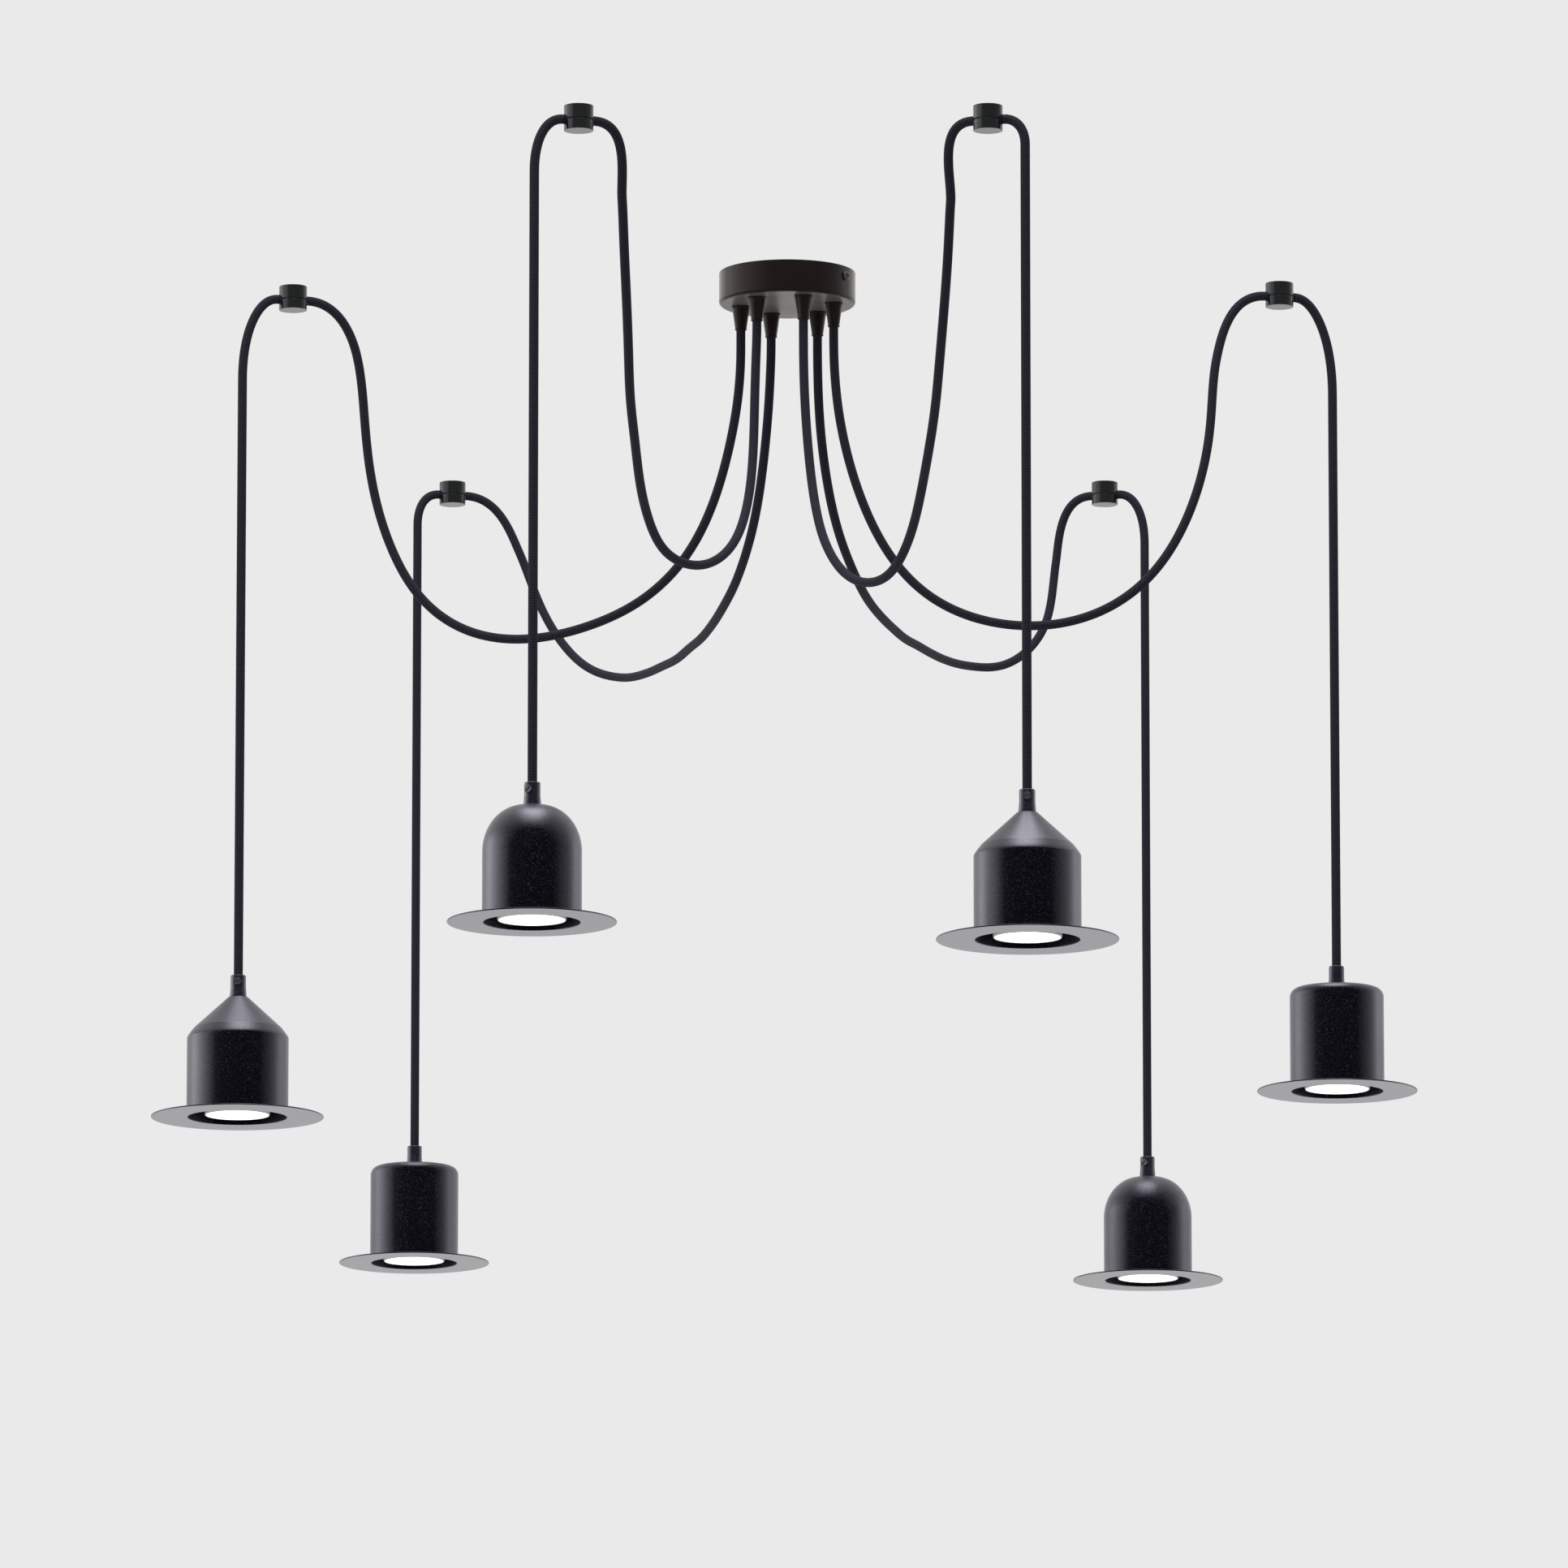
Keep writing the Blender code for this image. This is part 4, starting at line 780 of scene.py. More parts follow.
def turned(name: str, corners: list[Corner], arc_steps: int, margin: float, steps: int,
           seat: Matrix = UPRIGHT) -> Piece:
    """Turn an outline with rounded corners about the vertical.

    Args:
        name: the piece's name.
        corners: the closed outline; a corner on the axis becomes a pole.
        arc_steps: how many steps each rounded corner gets.
        margin: how near its ends each long side gets the points that keep it flat.
        steps: how many steps go round.
        seat: where the turned piece goes.

    Returns:
        A closed piece whose faces point outwards.
    """
    bm = bmesh.new()
    rings = []
    for across, height in held_edges(rounded_outline(corners, arc_steps), margin):
        ring = []
        for step in range(1 if across < POLE else steps):
            angle = math.tau * step / steps
            ring.append(bm.verts.new((across * math.cos(angle), across * math.sin(angle), height)))
        rings.append(ring)
    for ring, following in zip(rings, rings[1:] + rings[:1]):
        if len(ring) == len(following) == 1:
            continue
        for step in range(steps):
            after = (step + 1) % steps
            face = [ring[step % len(ring)], following[step % len(following)]]
            if len(following) > 1:
                face.append(following[after])
            if len(ring) > 1:
                face.append(ring[after])
            bm.faces.new(face)
    return shown(name, settled(name, bm, seat))


def block(outline: list[tuple[float, float]], low: float, high: float,
          seat: Matrix = UPRIGHT) -> bpy.types.Mesh:
    """Carry a flat outline from one height to another.

    Args:
        outline: its corners, in order.
        low: the lower height.
        high: the upper height.
        seat: where the block goes.

    Returns:
        A closed mesh.
    """
    bm = bmesh.new()
    floor = [bm.verts.new((x, y, low)) for x, y in outline]
    roof = [bm.verts.new((x, y, high)) for x, y in outline]
    bm.faces.new(floor[::-1])
    bm.faces.new(roof)
    for index in range(len(outline)):
        after = (index + 1) % len(outline)
        bm.faces.new((floor[index], floor[after], roof[after], roof[index]))
    return settled("block", bm, seat)


def bar(radius: float, low: float, high: float, steps: int,
        seat: Matrix = UPRIGHT) -> bpy.types.Mesh:
    """Make a plain round bar.

    Args:
        radius: its radius.
        low: its lower end.
        high: its upper end.
        steps: how many steps go round.
        seat: where the bar goes.

    Returns:
        A closed mesh.
    """
    angles = [math.tau * step / steps for step in range(steps)]
    circle = [(radius * math.cos(angle), radius * math.sin(angle)) for angle in angles]
    return block(circle, low, high, seat)


def freeze(piece: Piece) -> None:
    """Turn a piece's modifiers into its plain mesh.

    Args:
        piece: the object.
    """
    graph = bpy.context.evaluated_depsgraph_get()
    mesh = bpy.data.meshes.new_from_object(piece.evaluated_get(graph),
                                           preserve_all_data_layers=True, depsgraph=graph)
    piece.modifiers.clear()
    piece.data = mesh


def carve(piece: Piece, *cutters: bpy.types.Mesh) -> None:
    """Take the cutters' shapes out of a piece, for good.

    Args:
        piece: the object to carve.
        *cutters: closed meshes in the same place.
    """
    tools = [shown("tool", cutter) for cutter in cutters]
    for tool in tools:
        difference = piece.modifiers.new("carve", "BOOLEAN")
        difference.operation = "DIFFERENCE"
        difference.solver = "EXACT"
        difference.object = tool
    freeze(piece)
    for tool in tools:
        bpy.data.objects.remove(tool)


def smooth_over(piece: Piece) -> None:
    """Shade a piece round, with its true edges kept sharp."""
    piece.data.shade_smooth()
    piece.data.set_sharp_from_angle(angle=ROUND_ANGLE)


def dress(piece: Piece, finish: Finish, body: str, replaced: tuple[str, ...]) -> None:
    """Give a finished piece its material and its body, and hide the frame's nodes that it stands
    for.

    Args:
        piece: the object.
        finish: its material.
        body: the frame's body that it rides on.
        replaced: the frame's nodes that it replaces.
    """
    piece.data.materials.clear()
    piece.data.materials.append(finish)
    smooth_over(piece)
    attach(piece, body)
    if replaced:
        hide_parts(*replaced)
    log.info("%s: %d faces on %s", piece.name, len(piece.data.polygons), body)


def repaint(node: str, finish: Finish) -> None:
    """Give a frame node, whose shape stays, a better finish.

    Args:
        node: the node's name.
        finish: its new material.
    """
    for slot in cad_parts[node].material_slots:
        slot.material = finish
    log.info("%s keeps its shape and gets %s", node, finish.name)


def set_out(repeat: NodeTree, name: str, pattern: Piece, places: list[tuple[Vector, Vector]],
            finish: Finish, node: str) -> None:
    """Set a pattern on its places under the ceiling, as one piece.

    Args:
        repeat: the tree that repeats the pattern.
        name: the piece's name.
        pattern: the shape to repeat; it is removed.
        places: for each copy, where it is and its turn about x, y and z.
        finish: the piece's material.
        node: the name that the frame's nodes share; each copy stands for one, from 1.
    """
    smooth_over(pattern)
    mesh = bpy.data.meshes.new(name)
    mesh.from_pydata([place for place, _ in places], [], [])
    turns = mesh.attributes.new("turn", "FLOAT_VECTOR", "POINT")
    for datum, (_, turn) in zip(turns.data, places):
        datum.vector = turn
    piece = shown(name, mesh)
    repeat.run(piece, Pattern=pattern, Finish=finish)
    bpy.data.objects.remove(pattern)
    nodes = tuple(f"{node}_{number}" for number in range(1, len(places) + 1))
    dress(piece, finish, CEILING_BODY, nodes)


def close_ends(piece: Piece) -> None:
    """Cap the open ends of a sleeve, drop its helper attributes and face it outwards.

    Args:
        piece: the sleeve.
    """
    bm = bmesh.new()
    bm.from_mesh(piece.data)
    rims = [edge for edge in bm.edges if edge.is_boundary]
    bmesh.ops.holes_fill(bm, edges=rims, sides=0)
    bmesh.ops.recalc_face_normals(bm, faces=bm.faces)
    bm.to_mesh(piece.data)
    bm.free()
    for name in ("along", "around"):
        helper = piece.data.attributes.get(name)
        if helper is not None:
            piece.data.attributes.remove(helper)


# Lines


def run_of(points: list[Vector]) -> float:
    """Return the length of a line of points."""
    return sum((after - before).length for before, after in zip(points, points[1:]))


def smooth_through(points: list[Vector], first: Vector, last: Vector, steps: int) -> list[Vector]:
    """Draw one smooth curve through route points.

    Args:
        points: the route.
        first: the direction in which it leaves.
        last: the direction in which it arrives.
        steps: how many steps each span gets.

    Returns:
        Points on the curve.
    """
    spans = [(after - before).length for before, after in zip(points, points[1:])]
    result = [points[0]]
    for index, span in enumerate(spans):
        start, end = points[index:index + 2]
        leave = first * span
        arrive = last * span
        if index > 0:
            leave = (end - points[index - 1]) * span / (spans[index - 1] + span)
        if index < len(spans) - 1:
            arrive = (points[index + 2] - start) * span / (spans[index + 1] + span)
        for step in range(1, steps + 1):
            t = step / steps
            point = start * (2 * t ** 3 - 3 * t ** 2 + 1) + leave * (t ** 3 - 2 * t ** 2 + t)
            point += end * (3 * t ** 2 - 2 * t ** 3) + arrive * (t ** 3 - t ** 2)
            result.append(point)
    return result


def even_steps(points: list[Vector], gap: float) -> list[Vector]:
    """Space the points of a line evenly.

    Args:
        points: the line.
        gap: how far apart the new points should be.

    Returns:
        Points at even distances near the gap, with both ends kept.
    """
    count = max(2, round(run_of(points) / gap))
    step_length = run_of(points) / count
    result = [points[0].copy()]
    walked = 0.0
    for before, after in zip(points, points[1:]):
        span = (after - before).length
        while len(result) < count and walked + span >= step_length * len(result):
            share = (step_length * len(result) - walked) / span
            result.append(before.lerp(after, share))
        walked += span
    result.append(points[-1].copy())
    return result


def eased(points: list[Vector], reach: float, steps: int = 6, reaches: int = 3) -> list[Vector]:
    """Take the small waves out of a line and leave its bends and both ends where they are.

    Args:
        points: the line.
        reach: how far along the line each point's neighbours count.
        steps: how many points there are to a reach.
        reaches: how many reaches the averaging takes in on either side.

    Returns:
        Evenly spaced points. What one averaging moved is given back by a second one, and the
        line keeps the directions in which it leaves and arrives.
    """
    gap = reach / steps
    line = even_steps(points, gap)
    width = steps * reaches
    weights = [math.exp(-0.5 * (step * gap / reach) ** 2) for step in range(-width, width + 1)]
    total = sum(weights)

    def averaged(source: list[Vector]) -> list[Vector]:
        """Average each point with its neighbours; past an end, the line is mirrored through it.

        Args:
            source: evenly spaced points.

        Returns:
            As many averaged points.
        """
        head = [2.0 * source[0] - point for point in source[width:0:-1]]
        tail = [2.0 * source[-1] - point for point in source[-2:-width - 2:-1]]
        longer = head + source + tail
        result = []
        for index in range(len(source)):
            near = longer[index:index + 2 * width + 1]
            mean = sum((point * weight for point, weight in zip(near, weights)), Vector())
            result.append(mean / total)
        return result

    soft = averaged(line)
    lost = [point - mean for point, mean in zip(line, soft)]
    result = []
    for index, (point, mean, change) in enumerate(zip(line, soft, averaged(lost))):
        from_end = min(index, len(line) - 1 - index) * gap
        share = min(1.0, from_end / (2.0 * reach))
        result.append(point.lerp(mean + change, share * share * (3.0 - 2.0 * share)))
    return result


# The light's pieces


@dataclass(frozen=True)
class Hanging:
    """One lamp's place: its hat, its hook, which way its cord drops and how far down it hangs."""

    number: int
    form: HatForm
    hook_shares: tuple[float, float]
    turn_degrees: float
    reach: float
    fall_share: float
    screw_degrees: float

    def named(self, start: str) -> str:
        """Return a name with the lamp's number after it."""
        return f"{start}_{self.number}"

    @property
    def hook(self) -> tuple[float, float]:
        """The hook's plan place."""
        across, along = self.hook_shares
        return across * SPREAD_ACROSS, along * SPREAD_ALONG

    @property
    def collar_top(self) -> float:
        """The height of the collar's top."""
        return -self.fall_share * LAMP_FALL

    @property
    def turn(self) -> float:
        """The drop's direction, in radians."""
        return math.radians(self.turn_degrees)

    @property
    def outward(self) -> Vector:
        """The direction from the hook to the drop."""
        return Vector((math.cos(self.turn), math.sin(self.turn), 0.0))

    @property
    def axis(self) -> Vector:
        """The plan place of the straight drop."""
        return Vector((*self.hook, 0.0)) + self.outward * self.reach


# The main sizes: how far the hooks spread over the ceiling, and how far down the lamps hang.
SPREAD_ACROSS = 382.0 * MM
SPREAD_ALONG = 821.0 * MM
LAMP_FALL = 565.0 * MM

HANGINGS = (
    Hanging(1, HatForm.DOME, (-0.3979, -0.7016), 195.0, 33.2 * MM, 0.8885, 242.0),
    Hanging(2, HatForm.CONE, (0.3822, -0.7016), 345.0, 27.9 * MM, 0.8973, 268.0),
    Hanging(3, HatForm.CONE, (-1.0000, 0.0609), 195.0, 39.6 * MM, 0.9575, 266.0),
    Hanging(4, HatForm.DRUM, (0.9948, 0.0463), 15.0, 42.3 * MM, 0.9425, 90.0),
    Hanging(5, HatForm.DRUM, (-0.7251, 1.0000), 195.0, 29.6 * MM, 0.9850, 100.0),
    Hanging(6, HatForm.DOME, (0.6885, 1.0000), 345.0, 33.8 * MM, 1.0009, 242.0),
)

# The cords' routes from under the canopy to beside the hooks. Each point is how far across
# it is, how far along and how far down, in thousandths of the spreads and of the fall.
THOUSAND = 1000.0
SWAG_SHARES = (
    ((-65, -43, 172), (-68, -63, 262), (-79, -96, 345), (-110, -139, 418), (-170, -186, 458),
     (-238, -242, 457), (-272, -303, 427), (-288, -367, 395), (-296, -429, 359),
     (-304, -488, 320), (-306, -546, 274), (-309, -597, 218), (-314, -642, 150),
     (-319, -671, 90), (-332, -688, 46)),
    ((34, -50, 173), (42, -71, 264), (55, -102, 347), (79, -145, 421), (128, -192, 478),
     (194, -248, 492), (236, -308, 460), (257, -370, 423), (272, -431, 382), (285, -491, 338),
     (293, -547, 288), (301, -598, 230), (309, -642, 159), (314, -671, 96), (327, -688, 50)),
    ((-97, 10, 159), (-118, 16, 239), (-152, 24, 317), (-209, 35, 388), (-296, 46, 442),
     (-403, 58, 473), (-521, 68, 488), (-639, 78, 476), (-736, 85, 430), (-798, 89, 359),
     (-835, 91, 281), (-853, 90, 202), (-864, 84, 120), (-887, 76, 58), (-919, 71, 27)),
    ((97, -7, 158), (115, -7, 237), (149, -6, 315), (202, -4, 388), (280, -2, 446),
     (387, -1, 480), (505, 1, 488), (620, 2, 471), (720, 5, 425), (788, 7, 359), (830, 12, 285),
     (853, 18, 205), (861, 26, 127), (887, 33, 64), (919, 38, 30)),
    ((-42, 58, 204), (-65, 101, 310), (-99, 163, 373), (-131, 240, 396), (-154, 329, 396),
     (-178, 426, 389), (-204, 529, 375), (-233, 632, 363), (-267, 731, 347), (-306, 822, 333),
     (-361, 899, 317), (-445, 959, 280), (-524, 995, 200), (-571, 1010, 117), (-613, 1012, 57),
     (-652, 1009, 28)),
    ((68, 51, 209), (97, 94, 317), (139, 155, 377), (168, 233, 391), (196, 322, 389),
     (220, 420, 377), (246, 523, 363), (275, 626, 345), (306, 726, 329), (343, 817, 315),
     (395, 896, 301), (479, 957, 281), (558, 995, 218), (579, 1010, 135), (597, 1012, 67),
     (623, 1009, 32)),
)


@dataclass
class CanopySet:
    """The canopy cup with its cord grips, side screws, bracket and terminal block."""

    finishes: Finishes
    repeat: NodeTree
    radius: float = 52.5 * MM
    height: float = 25.0 * MM
    wall: float = 1.2 * MM
    edge: float = 3.0 * MM
    grip_circle: float = 36.25 * MM
    grip_angles: tuple[float, ...] = (230.0, 290.0, 170.0, 350.0, 110.0, 50.0)
    grip_hole: float = 5.3 * MM
    grip_bore: float = 3.8 * MM
    grip_length: float = 18.4 * MM
    stem_radius: float = 5.0 * MM
    stem_rise: float = 6.0 * MM
    nut_radius: float = 6.8 * MM
    nut_height: float = 3.0 * MM
    flange_radius: float = 7.1 * MM
    flange_height: float = 0.9 * MM
    cone_radius: float = 6.6 * MM
    cone_drop: float = 1.25 * MM
    tip_radius: float = 4.35 * MM
    tip_rise: float = 0.8 * MM
    lip_radius: float = 4.7 * MM
    lip_height: float = 0.75 * MM
    screw_turn: float = math.radians(-32.0)
    screw_drop: float = 8.0 * MM
    screw_radius: float = 1.9 * MM
    screw_length: float = 8.0 * MM
    head_radius: float = 3.6 * MM
    head_height: float = 2.0 * MM
    head_rounding: float = 0.8 * MM
    crown_share: float = 0.62
    shoulder_share: float = 0.5
    cross_reach: float = 0.52
    cross_width: float = 0.13
    cross_depth: float = 1.2 * MM
    cross_above: float = 1.0 * MM

    @property
    def mouth(self) -> float:
        """The height at which the cords leave their grips."""
        return -self.height - self.grip_length

    @property
    def stem_top(self) -> float:
        """The height of the grips' stems inside the canopy."""
        return -self.height + self.stem_rise

    def grip_place(self, number: int) -> Vector:
        """Return the plan place of a cord's grip; number counts from 1."""
        angle = math.radians(self.grip_angles[number - 1])
        return Vector((self.grip_circle * math.cos(angle), self.grip_circle * math.sin(angle), 0.0))

    def side_seat(self, side: int) -> Matrix:
        """Return the seat of a side screw: its z axis points out through the canopy's wall."""
        spin = Matrix.Rotation(self.screw_turn + math.pi * side, 4, "Z")
        return spin @ Matrix.Translation((0.0, 0.0, -self.screw_drop)) @ SIDEWAYS

    def make_cup(self) -> None:
        """Spin the cup and cut its holes."""
        inner = self.radius - self.wall
        floor = -self.height + self.wall
        cup = turned("canopy", [
            Corner(self.radius, -SEAT_GAP, EASY),
            Corner(self.radius, -self.height, self.edge),
            Corner(0.0, -self.height),
            Corner(0.0, floor),
            Corner(inner, floor, self.edge - self.wall),
            Corner(inner, -SEAT_GAP, EASY),
        ], arc_steps=8, margin=0.5 * MM, steps=176)
        low = -self.height - self.wall
        cutters = []
        for hanging in HANGINGS:
            seat = Matrix.Translation(self.grip_place(hanging.number))
            cutters.append(bar(self.grip_hole, low, low + 3.0 * self.wall, steps=40, seat=seat))
        for side in (0, 1):
            cutters.append(bar(self.screw_radius + SEAT_GAP, inner - self.wall,
                               self.radius + self.wall, steps=28, seat=self.side_seat(side)))
        carve(cup, *cutters)
        dress(cup, self.finishes.canopy, CEILING_BODY, ("canopy_cup",))

    def make_grips(self) -> None:
        """Turn one grip and set it six times under the canopy."""
        seat = -self.height - SEAT_GAP
        nut = -self.height + self.wall + SEAT_GAP
        pattern = turned("pattern_grip", [
            Corner(self.grip_bore, self.stem_top, SOFT),
            Corner(self.stem_radius, self.stem_top, SOFT),
            Corner(self.stem_radius, nut + self.nut_height),
            Corner(self.nut_radius, nut + self.nut_height, SOFT),
            Corner(self.nut_radius, nut, SOFT),
            Corner(self.stem_radius, nut),
            Corner(self.stem_radius, seat),
            Corner(self.flange_radius, seat, TRIM),
            Corner(self.flange_radius, seat - self.flange_height, EASY),
            Corner(self.cone_radius, seat - self.cone_drop, CRISP),
            Corner(self.tip_radius, self.mouth + self.tip_rise, CRISP),
            Corner(self.lip_radius, self.mouth + self.lip_height, TRIM),
            Corner(self.lip_radius, self.mouth, EASY),
            Corner(self.grip_bore, self.mouth, SOFT),
        ], arc_steps=4, margin=0.15 * MM, steps=64)
        places = [(self.grip_place(hanging.number), Vector()) for hanging in HANGINGS]
        set_out(self.repeat, "cord_grips", pattern, places, self.finishes.grip, "cord_grip")

    def make_side_screws(self) -> None:
        """Turn one cross-headed screw and set it on both sides of the canopy."""
        seat = self.radius + SEAT_GAP
        crown = seat + self.head_height
        head = self.head_radius
        pattern = turned("pattern_screw", [
            Corner(0.0, crown),
            Corner(head * self.crown_share, crown, self.head_rounding),
            Corner(head, crown - self.head_height * self.shoulder_share, self.head_rounding),
            Corner(head, seat, FINE),
            Corner(self.screw_radius, seat, CRISP),
            Corner(self.screw_radius, seat - self.screw_length, SOFT),
            Corner(0.0, seat - self.screw_length),
        ], arc_steps=5, margin=0.15 * MM, steps=56)
        arm = head * self.cross_reach
        blade = head * self.cross_width
        cross = []
        for x, y in ((1, 0), (0, 1), (-1, 0), (0, -1)):
            for out, side in ((arm, -blade), (arm, blade), (blade, blade)):
                cross.append((out * x - side * y, out * y + side * x))
        carve(pattern, block(cross, crown - self.cross_depth, crown + self.cross_above))
        seats = [self.side_seat(side) for side in (0, 1)]
        places = [(spin.to_translation(), Vector(spin.to_euler())) for spin in seats]
        set_out(self.repeat, "side_screws", pattern, places, self.finishes.dark_screw,
                "side_screw")

    def build(self) -> None:
        """Make the whole set; the bracket and the terminal block keep their shapes."""
        self.make_cup()
        self.make_grips()
        self.make_side_screws()
        repaint("ceiling_bracket", self.finishes.zinc)
        repaint("terminal_block", self.finishes.polyamide)


@dataclass
class HookSet:
    """The six ceiling hooks: a base and a cap with a seam between them, bored for the cord."""

    finishes: Finishes
    repeat: NodeTree
    radius: float = 10.8 * MM
    base: float = 10.5 * MM
    cap: float = 8.0 * MM
    seam: float = 0.9 * MM
    seam_radius: float = 9.4 * MM
    bore: float = 3.8 * MM
    screw_hole: float = 2.2 * MM

    def build(self) -> None:
        """Turn one hook, bore it and set it on its six places."""
        bottom = -self.base - self.cap
        seam_top = -self.base + self.seam / 2
        seam_foot = -self.base - self.seam / 2
        pattern = turned("pattern_hook", [
            Corner(0.0, 0.0),
            Corner(self.radius, 0.0, EASY),
            Corner(self.radius, seam_top, TRIM),
            Corner(self.seam_radius, seam_top),
            Corner(self.seam_radius, seam_foot),
            Corner(self.radius, seam_foot, TRIM),
            Corner(self.radius, bottom, SOFT),
            Corner(0.0, bottom),
        ], arc_steps=5, margin=0.2 * MM, steps=96)
        along = Matrix.Translation((0.0, 0.0, -self.base)) @ SIDEWAYS
        reach = 2.0 * self.radius
        carve(pattern, bar(self.bore, -reach, reach, steps=40, seat=along),
              bar(self.screw_hole, -self.base, self.base, steps=32))
        places = []
        for hanging in HANGINGS:
            places.append((Vector((*hanging.hook, 0.0)), Vector((0.0, 0.0, hanging.turn))))
        set_out(self.repeat, "ceiling_hooks", pattern, places, self.finishes.hook, "ceiling_hook")


@dataclass
class Cord:
    """One lamp's textile cord: its swag to the hook, and its arch and drop beyond it."""

    hanging: Hanging
    canopy: CanopySet
    hooks: HookSet
    finishes: Finishes
    sleeve: NodeTree
    radius: float = 3.5 * MM
    sides: int = 25
    lead: float = 3.0 * MM
    span_steps: int = 12
    ease_reach: float = 24.0 * MM
    entry_lead: float = 0.6 * MM
    entry_reach: float = 62.0 * MM
    entry_leave: float = 0.28
    entry_arrive: float = 0.44
    entry_steps: int = 24
    tight_radius: float = 14.0 * MM
    arch_lead: float = 1.2 * MM
    opening_power: int = 4
    arch_steps: int = 54
    drop_steps: int = 60
    tail: float = 1.5 * MM
    flex_above: float = 12.0 * MM
    flex_below: float = 16.0 * MM

    def from_hook(self, out: float, rise: float = 0.0) -> Vector:
        """Return a point so far from the middle of the hook's bore towards the drop, and above."""
        middle = Vector((*self.hanging.hook, -self.hooks.base))
        return middle + self.hanging.outward * out + Vector((0.0, 0.0, rise))

    def swag_points(self) -> list[Vector]:
        """Lay the swag.

        Returns:
            Points from inside the grip to the hook's outer face.
        """
        grip = self.canopy.grip_place(self.hanging.number)
        route = [grip + Vector((0.0, 0.0, self.canopy.mouth - self.lead))]
        for shares in SWAG_SHARES[self.hanging.number - 1]:
            across, along, fall = (share / THOUSAND for share in shares)
            route.append(Vector((across * SPREAD_ACROSS, along * SPREAD_ALONG, -fall * LAMP_FALL)))
        route.append(self.from_hook(-self.hooks.radius - self.lead))
        down = Vector((0.0, 0.0, -1.0))
        curve = smooth_through(route, down, self.hanging.outward, self.span_steps)
        curve = self.bent_into_hook(eased(curve, self.ease_reach))
        inner_end = grip + Vector((0.0, 0.0, self.canopy.stem_top + self.tail))
        return [inner_end] + curve + [self.from_hook(self.hooks.radius)]

    def bent_into_hook(self, curve: list[Vector]) -> list[Vector]:
        """Redraw the last stretch of a swag as the one bend that a limp cord takes there.

        Args:
            curve: the swag as far as the hook.

        Returns:
            The same line with one bend from its last stretch into the bore.
        """
        entry = self.from_hook(-self.hooks.radius - self.entry_lead)
        index = len(curve) - 1
        walked = 0.0
        while walked < self.entry_reach:
            walked += (curve[index] - curve[index - 1]).length
            index -= 1
        join = curve[index]
        chord = (entry - join).length
        leave = join + (join - curve[index - 1]).normalized() * chord * self.entry_leave
        arrive = entry - self.hanging.outward * chord * self.entry_arrive
        bend = []
        for step in range(1, self.entry_steps + 1):
            t = step / self.entry_steps
            point = join * (1.0 - t) ** 3 + leave * (3.0 * t * (1.0 - t) ** 2)
            bend.append(point + arrive * (3.0 * t ** 2 * (1.0 - t)) + entry * t ** 3)
        return curve[:index + 1] + bend

    def drop_points(self, end_height: float) -> list[Vector]:
        """Return the line of the arch and the straight drop.

        Args:
            end_height: how far down the cord ends, inside the collar.

        Returns:
            Points from the hook's outer face down.
        """
        start = self.hooks.radius + SEAT_GAP
        step_angle = QUARTER / self.arch_steps
        headings = [(step + 0.5) * step_angle for step in range(self.arch_steps)]
        opening = [(heading / QUARTER) ** self.opening_power for heading in headings]
        tight = sum(math.cos(heading) for heading in headings) * step_angle
        loose = sum(math.cos(heading) * share for heading, share in zip(headings, opening))
        room = self.hanging.reach - start - self.arch_lead - self.tight_radius * tight
        growth = room / (loose * step_angle)
        across = start + self.arch_lead
        fall = 0.0
        line = [(start, 0.0), (across, 0.0)]
        for heading, share in zip(headings, opening):
            bend = self.tight_radius + growth * share
            across += bend * step_angle * math.cos(heading)
            fall -= bend * step_angle * math.sin(heading)
            line.append((across, fall))
        fall -= self.arch_lead
        line.append((across, fall))
        length = -end_height - self.hooks.base + fall
        for step in range(1, self.drop_steps + 1):
            line.append((across, fall - length * step / self.drop_steps))
        return [self.from_hook(out, rise) for out, rise in line]

    def sweep(self, name: str, points: list[Vector]) -> Piece:
        """Sweep the woven sleeve along a line.

        Args:
            name: the new piece's name.
            points: the line.

        Returns:
            The closed sleeve, with its finish.
        """
        mesh = bpy.data.meshes.new(name)
        mesh.from_pydata(points, [(index, index + 1) for index in range(len(points) - 1)], [])
        piece = shown(name, mesh)
        self.sleeve.run(piece, Radius=self.radius, Sides=self.sides, Finish=self.finishes.braid)
        close_ends(piece)
        piece.data.materials.clear()
        piece.data.materials.append(self.finishes.braid)
        piece.data.shade_smooth()
        return piece

    def declare(self, piece: Piece, points: list[Vector],
                nodes: tuple[str, ...]) -> None:
        """Hide the frame's nodes that a sleeve stands for, and log the sleeve's length.

        Args:
            piece: the sleeve.
            points: its line.
            nodes: the frame's nodes that it replaces, which are hidden.
        """
        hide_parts(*nodes)
        log.info("%s: %.0f mm of cord", piece.name, run_of(points) / MM)

    def build_swag(self) -> None:
        """Make the swag, from inside its grip through its hook."""
        points = self.swag_points()
        piece = self.sweep(self.hanging.named("swag"), points)
        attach(piece, CEILING_BODY)
        mouth = self.canopy.grip_place(self.hanging.number)
        mouth += Vector((0.0, 0.0, self.canopy.mouth))
        self.declare(piece, points, (self.hanging.named("swag_cord"),))

    def build_drop(self, end_height: float) -> None:
        """Make the arch and the drop as one sleeve.

        Args:
            end_height: how far down the cord ends.
        """
        points = self.drop_points(end_height)
        arch, drop = self.hanging.named("arch_cord"), self.hanging.named("drop_cord")
        piece = self.sweep(self.hanging.named("drop"), points)
        self.hanging.named("hanger")
        self.hanging.named("lamp")
        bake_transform(piece)
        self.declare(piece, points, (arch, drop))


